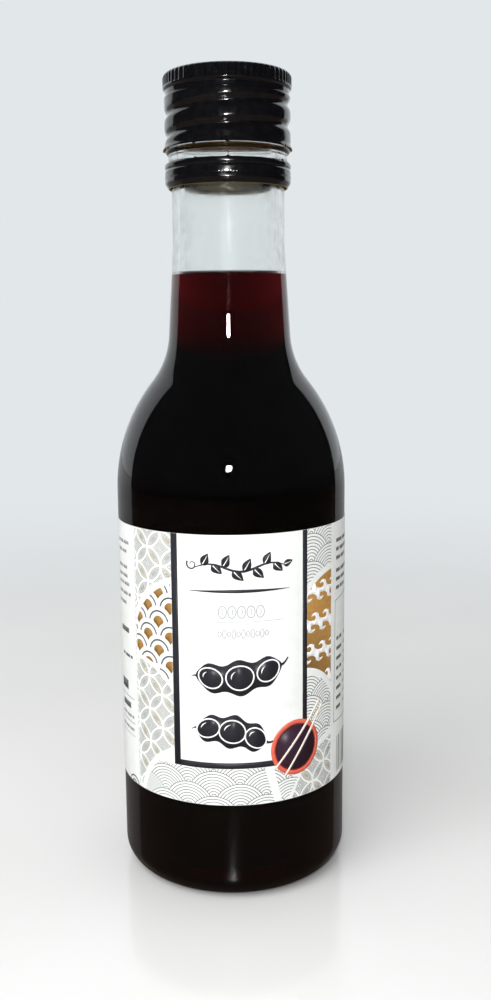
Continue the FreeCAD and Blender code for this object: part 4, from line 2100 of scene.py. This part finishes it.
@dataclass
class Studio:
    """Floor, background, lamps and camera."""

    backdrop: Colour = srgb(226, 231, 234)
    floor_tone: Colour = srgb(214, 214, 212)
    floor_drift: Colour = srgb(222, 222, 221)
    # Painted reflection: a dim brown that only reflections see on the floor.
    painted_reflection_tone: Colour = srgb(84, 71, 64)
    fill_strength: float = 0.62
    fade_from: float = 120.0
    fade_to: float = 620.0
    flag_radius: float = 900.0
    camera_turn: tuple[float, float, float] = (9.52, 0.77, -0.47)
    camera_place: tuple[float, float, float] = (0.0, -0.27028, 0.14036)
    lens: float = 38.34
    sensor: float = 36.0

    def world(self) -> None:
        """A pale background for what is seen, and a plain soft fill for what is lit."""
        world = bpy.data.worlds.new("studio_world")
        bpy.context.scene.world = world
        world.use_nodes = True
        wiring = Wiring(world.node_tree)
        path = wiring.add("ShaderNodeLightPath")
        feeds = {0: path.outputs["Is Camera Ray"], 1: path.outputs["Is Glossy Ray"]}
        seen = wiring.add("ShaderNodeMath", feeds, operation="MAXIMUM")
        feeds = {0: seen.outputs[0], 1: path.outputs["Is Transmission Ray"]}
        clear = wiring.add("ShaderNodeMath", feeds, operation="MAXIMUM")
        feeds = {"Color": (1.0, 1.0, 1.0, 1.0), "Strength": self.fill_strength}
        fill = wiring.add("ShaderNodeBackground", feeds)
        backdrop = wiring.add("ShaderNodeBackground", {"Color": self.backdrop})
        feeds = {"Fac": clear.outputs[0], 1: fill.outputs[0], 2: backdrop.outputs[0]}
        mix = wiring.add("ShaderNodeMixShader", feeds)
        wiring.add("ShaderNodeOutputWorld", {"Surface": mix.outputs[0]})

    def floor(self, effects: EffectLibrary) -> bpy.types.Object:
        """The round pale floor, with a soft gloss that keeps the bottle's reflection.

        Args:
            effects: The shared node groups.

        Returns:
            The floor.
        """
        rows = [(0.0, -0.02)] + [(60.0 * 1.6**n, -0.02) for n in range(9)]
        draft = turned(rows, 96)
        draft.faces = [face[::-1] for face in draft.faces]
        made = draft.piece("studio_floor", [self._floor_material(effects)])
        return made

    def _floor_material(self, effects: EffectLibrary) -> bpy.types.Material:
        """Pale satin that fades into the backdrop; in reflections it shows a painted dim brown instead
        of its own pale tone.

        Args:
            effects: The shared node groups.

        Returns:
            The material.
        """
        made, wiring = new_material("studio_floor")
        path = wiring.add("ShaderNodeLightPath")
        colour = effects.place(
            wiring, Effect.TINT, Scale=6.0, Tone_A=self.floor_tone, Tone_B=self.floor_drift
        )
        # Reflections see the floor in the painted dim brown, a painted reflection tone.
        feeds = {"Factor": path.outputs["Is Glossy Ray"], 6: colour, 7: self.painted_reflection_tone}
        tone = wiring.add("ShaderNodeMix", feeds, data_type="RGBA")
        gloss = effects.place(wiring, Effect.MOTTLE, Scale=8.0, Low=0.1, High=0.14)
        feeds = {"Base Color": tone.outputs[2], "Roughness": gloss, "Specular IOR Level": 0.9}
        shader = wiring.add("ShaderNodeBsdfPrincipled", feeds)
        place = wiring.add("ShaderNodeNewGeometry")
        away = wiring.add("ShaderNodeVectorMath", {0: place.outputs["Position"]}, operation="LENGTH")
        feeds = {
            "From Min": self.fade_from * MM,
            "From Max": self.fade_to * MM,
            "Value": away.outputs["Value"],
        }
        fade = wiring.add("ShaderNodeMapRange", feeds, interpolation_type="SMOOTHSTEP")
        feeds = {0: fade.outputs["Result"], 1: path.outputs["Is Camera Ray"]}
        seen = wiring.add("ShaderNodeMath", feeds, operation="MULTIPLY")
        far = wiring.add("ShaderNodeEmission", {"Color": self.backdrop})
        feeds = {"Fac": seen.outputs[0], 1: shader.outputs["BSDF"], 2: far.outputs["Emission"]}
        mix = wiring.add("ShaderNodeMixShader", feeds)
        wiring.add("ShaderNodeOutputMaterial", {"Surface": mix.outputs[0]})
        return made

    def dark_flag(self, effects: EffectLibrary) -> None:
        """A dark half dome before the bottle, seen only in reflections, so that gloss keeps depth.

        Args:
            effects: The shared node groups.
        """
        draft = MeshDraft()
        columns, rows = 40, 12
        for row in range(rows + 1):
            rise = math.radians(-2 + 84 * row / rows)
            out, up = self.flag_radius * math.cos(rise), self.flag_radius * math.sin(rise)
            for column in range(columns + 1):
                angle = FRONT + math.radians(-116 + 242 * column / columns)
                draft.points.append((out * math.cos(angle), out * math.sin(angle), up))
        draft.grid(columns, rows)
        finish = Finish("flag_cloth", srgb(30, 30, 32), srgb(24, 24, 26), 0.9, 1.0, specular=0.0)
        made = draft.piece("studio_flag", [finish.material(effects)])
        for kind in ("camera", "diffuse", "transmission", "shadow"):
            setattr(made, f"visible_{kind}", False)

    @staticmethod
    def lamp(
        name: str, place: Point | Sequence[float], aim: Sequence[float], size: Span, power: float,
        in_gloss: bool,
    ) -> None:
        """Adds a soft lamp.

        Args:
            name: Its name.
            place: Where it stands, in millimetres.
            aim: What it points at, in millimetres.
            size: Its width and height, in millimetres.
            power: Its power in watts.
            in_gloss: Whether it shows in reflections.
        """
        data = bpy.data.lights.new(name, "AREA")
        data.shape = "RECTANGLE"
        data.size, data.size_y = size[0] * MM, size[1] * MM
        data.energy = power
        lamp = bpy.data.objects.new(name, data)
        lamp.location = Vector(place) * MM
        lamp.rotation_mode = "QUATERNION"
        towards = (Vector(aim) - Vector(place)).normalized()
        lamp.rotation_quaternion = towards.to_track_quat("-Z", "Y")
        lamp.visible_glossy = in_gloss
        lamp.visible_transmission = in_gloss
        lamp.visible_camera = False
        bpy.context.scene.collection.objects.link(lamp)

    def lamps(self) -> None:
        """A broad soft lamp above and a small one by the camera."""
        self.lamp("soft_top", (-350, -500, 700), (0, 0, 90), (700, 700), 6.5, False)
        self.lamp("small_front", (-10, -285, 172), (0, 0, 120), (24, 16), 0.36, True)

    def camera(self) -> None:
        """The camera, a little above the bottle's middle, looking slightly down."""
        pitch, yaw, roll = (math.radians(angle) for angle in self.camera_turn)
        away = (math.sin(yaw), math.cos(yaw))
        level = Vector((away[1], -away[0], 0))
        tall = Vector((away[0] * math.sin(pitch), away[1] * math.sin(pitch), math.cos(pitch)))
        ahead = Vector((away[0] * math.cos(pitch), away[1] * math.cos(pitch), -math.sin(pitch)))
        right = level * math.cos(roll) + tall * math.sin(roll)
        up = tall * math.cos(roll) - level * math.sin(roll)
        data = bpy.data.cameras.new("camera")
        data.sensor_fit = "VERTICAL"
        data.sensor_height = self.sensor
        data.lens = self.lens
        data.clip_start, data.clip_end = 0.01, 20.0
        made = bpy.data.objects.new("camera", data)
        turn = Matrix((right, up, -ahead)).transposed().to_4x4()
        made.matrix_world = Matrix.Translation(self.camera_place) @ turn
        bpy.context.scene.collection.objects.link(made)
        bpy.context.scene.camera = made


# ---------------------------------------------------------------- assembly


def settle(piece: bpy.types.Object, slot: str, *nodes: str) -> None:
    """Rides a piece on the one body, logs its slot and hides the CAD nodes that it stands for.

    Args:
        piece: The piece.
        slot: The piece's material slot, for the log.
        nodes: The CAD nodes that it replaces.
    """
    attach(piece, "root")
    if nodes:
        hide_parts(*nodes)
    LOG.info("%s: %d faces, slot %s", piece.name, len(piece.data.polygons), slot)


def main() -> None:
    """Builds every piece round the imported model, then the studio."""
    logging.basicConfig(level=logging.INFO, format="%(message)s")
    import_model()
    effects = EffectLibrary()

    glass_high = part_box("glass_bottle")[1] / MM
    cap_low, cap_high = (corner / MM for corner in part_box("cap_shell"))
    band_low, band_high = (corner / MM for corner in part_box("tamper_band"))
    label_low, label_high = (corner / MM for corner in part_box("label"))
    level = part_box("soy_sauce")[1].z / MM

    vessel = Vessel(
        body_radius=glass_high.x, mouth=glass_high.z, band_foot=band_low.z, cap_edge=cap_low.z
    )
    settle(GlassBottle(vessel).build(effects, level), "clear_glass", "glass_bottle")
    settle(SauceFill(vessel, level).build(effects), "sauce", "soy_sauce")
    cap = ScrewCap(edge=cap_low.z, top=cap_high.z)
    settle(cap.build(effects), "black_lacquer", "cap_shell")
    band = TamperBand(foot=band_low.z, top=band_high.z, outer=band_high.x)
    settle(band.build(effects), "black_lacquer", "tamper_band")
    label = Label(vessel.body_radius, label_low.z, label_high.z, label_high.x)
    settle(label.paper(effects), "label_paper", "label")
    for piece in label.print_pieces(effects):
        settle(piece, "label_paper")

    studio = Studio()
    studio.world()
    studio.floor(effects)
    studio.dark_flag(effects)
    studio.lamps()
    studio.camera()
    bpy.context.scene.view_settings.view_transform = "Standard"


if __name__ == "__main__":
    main()
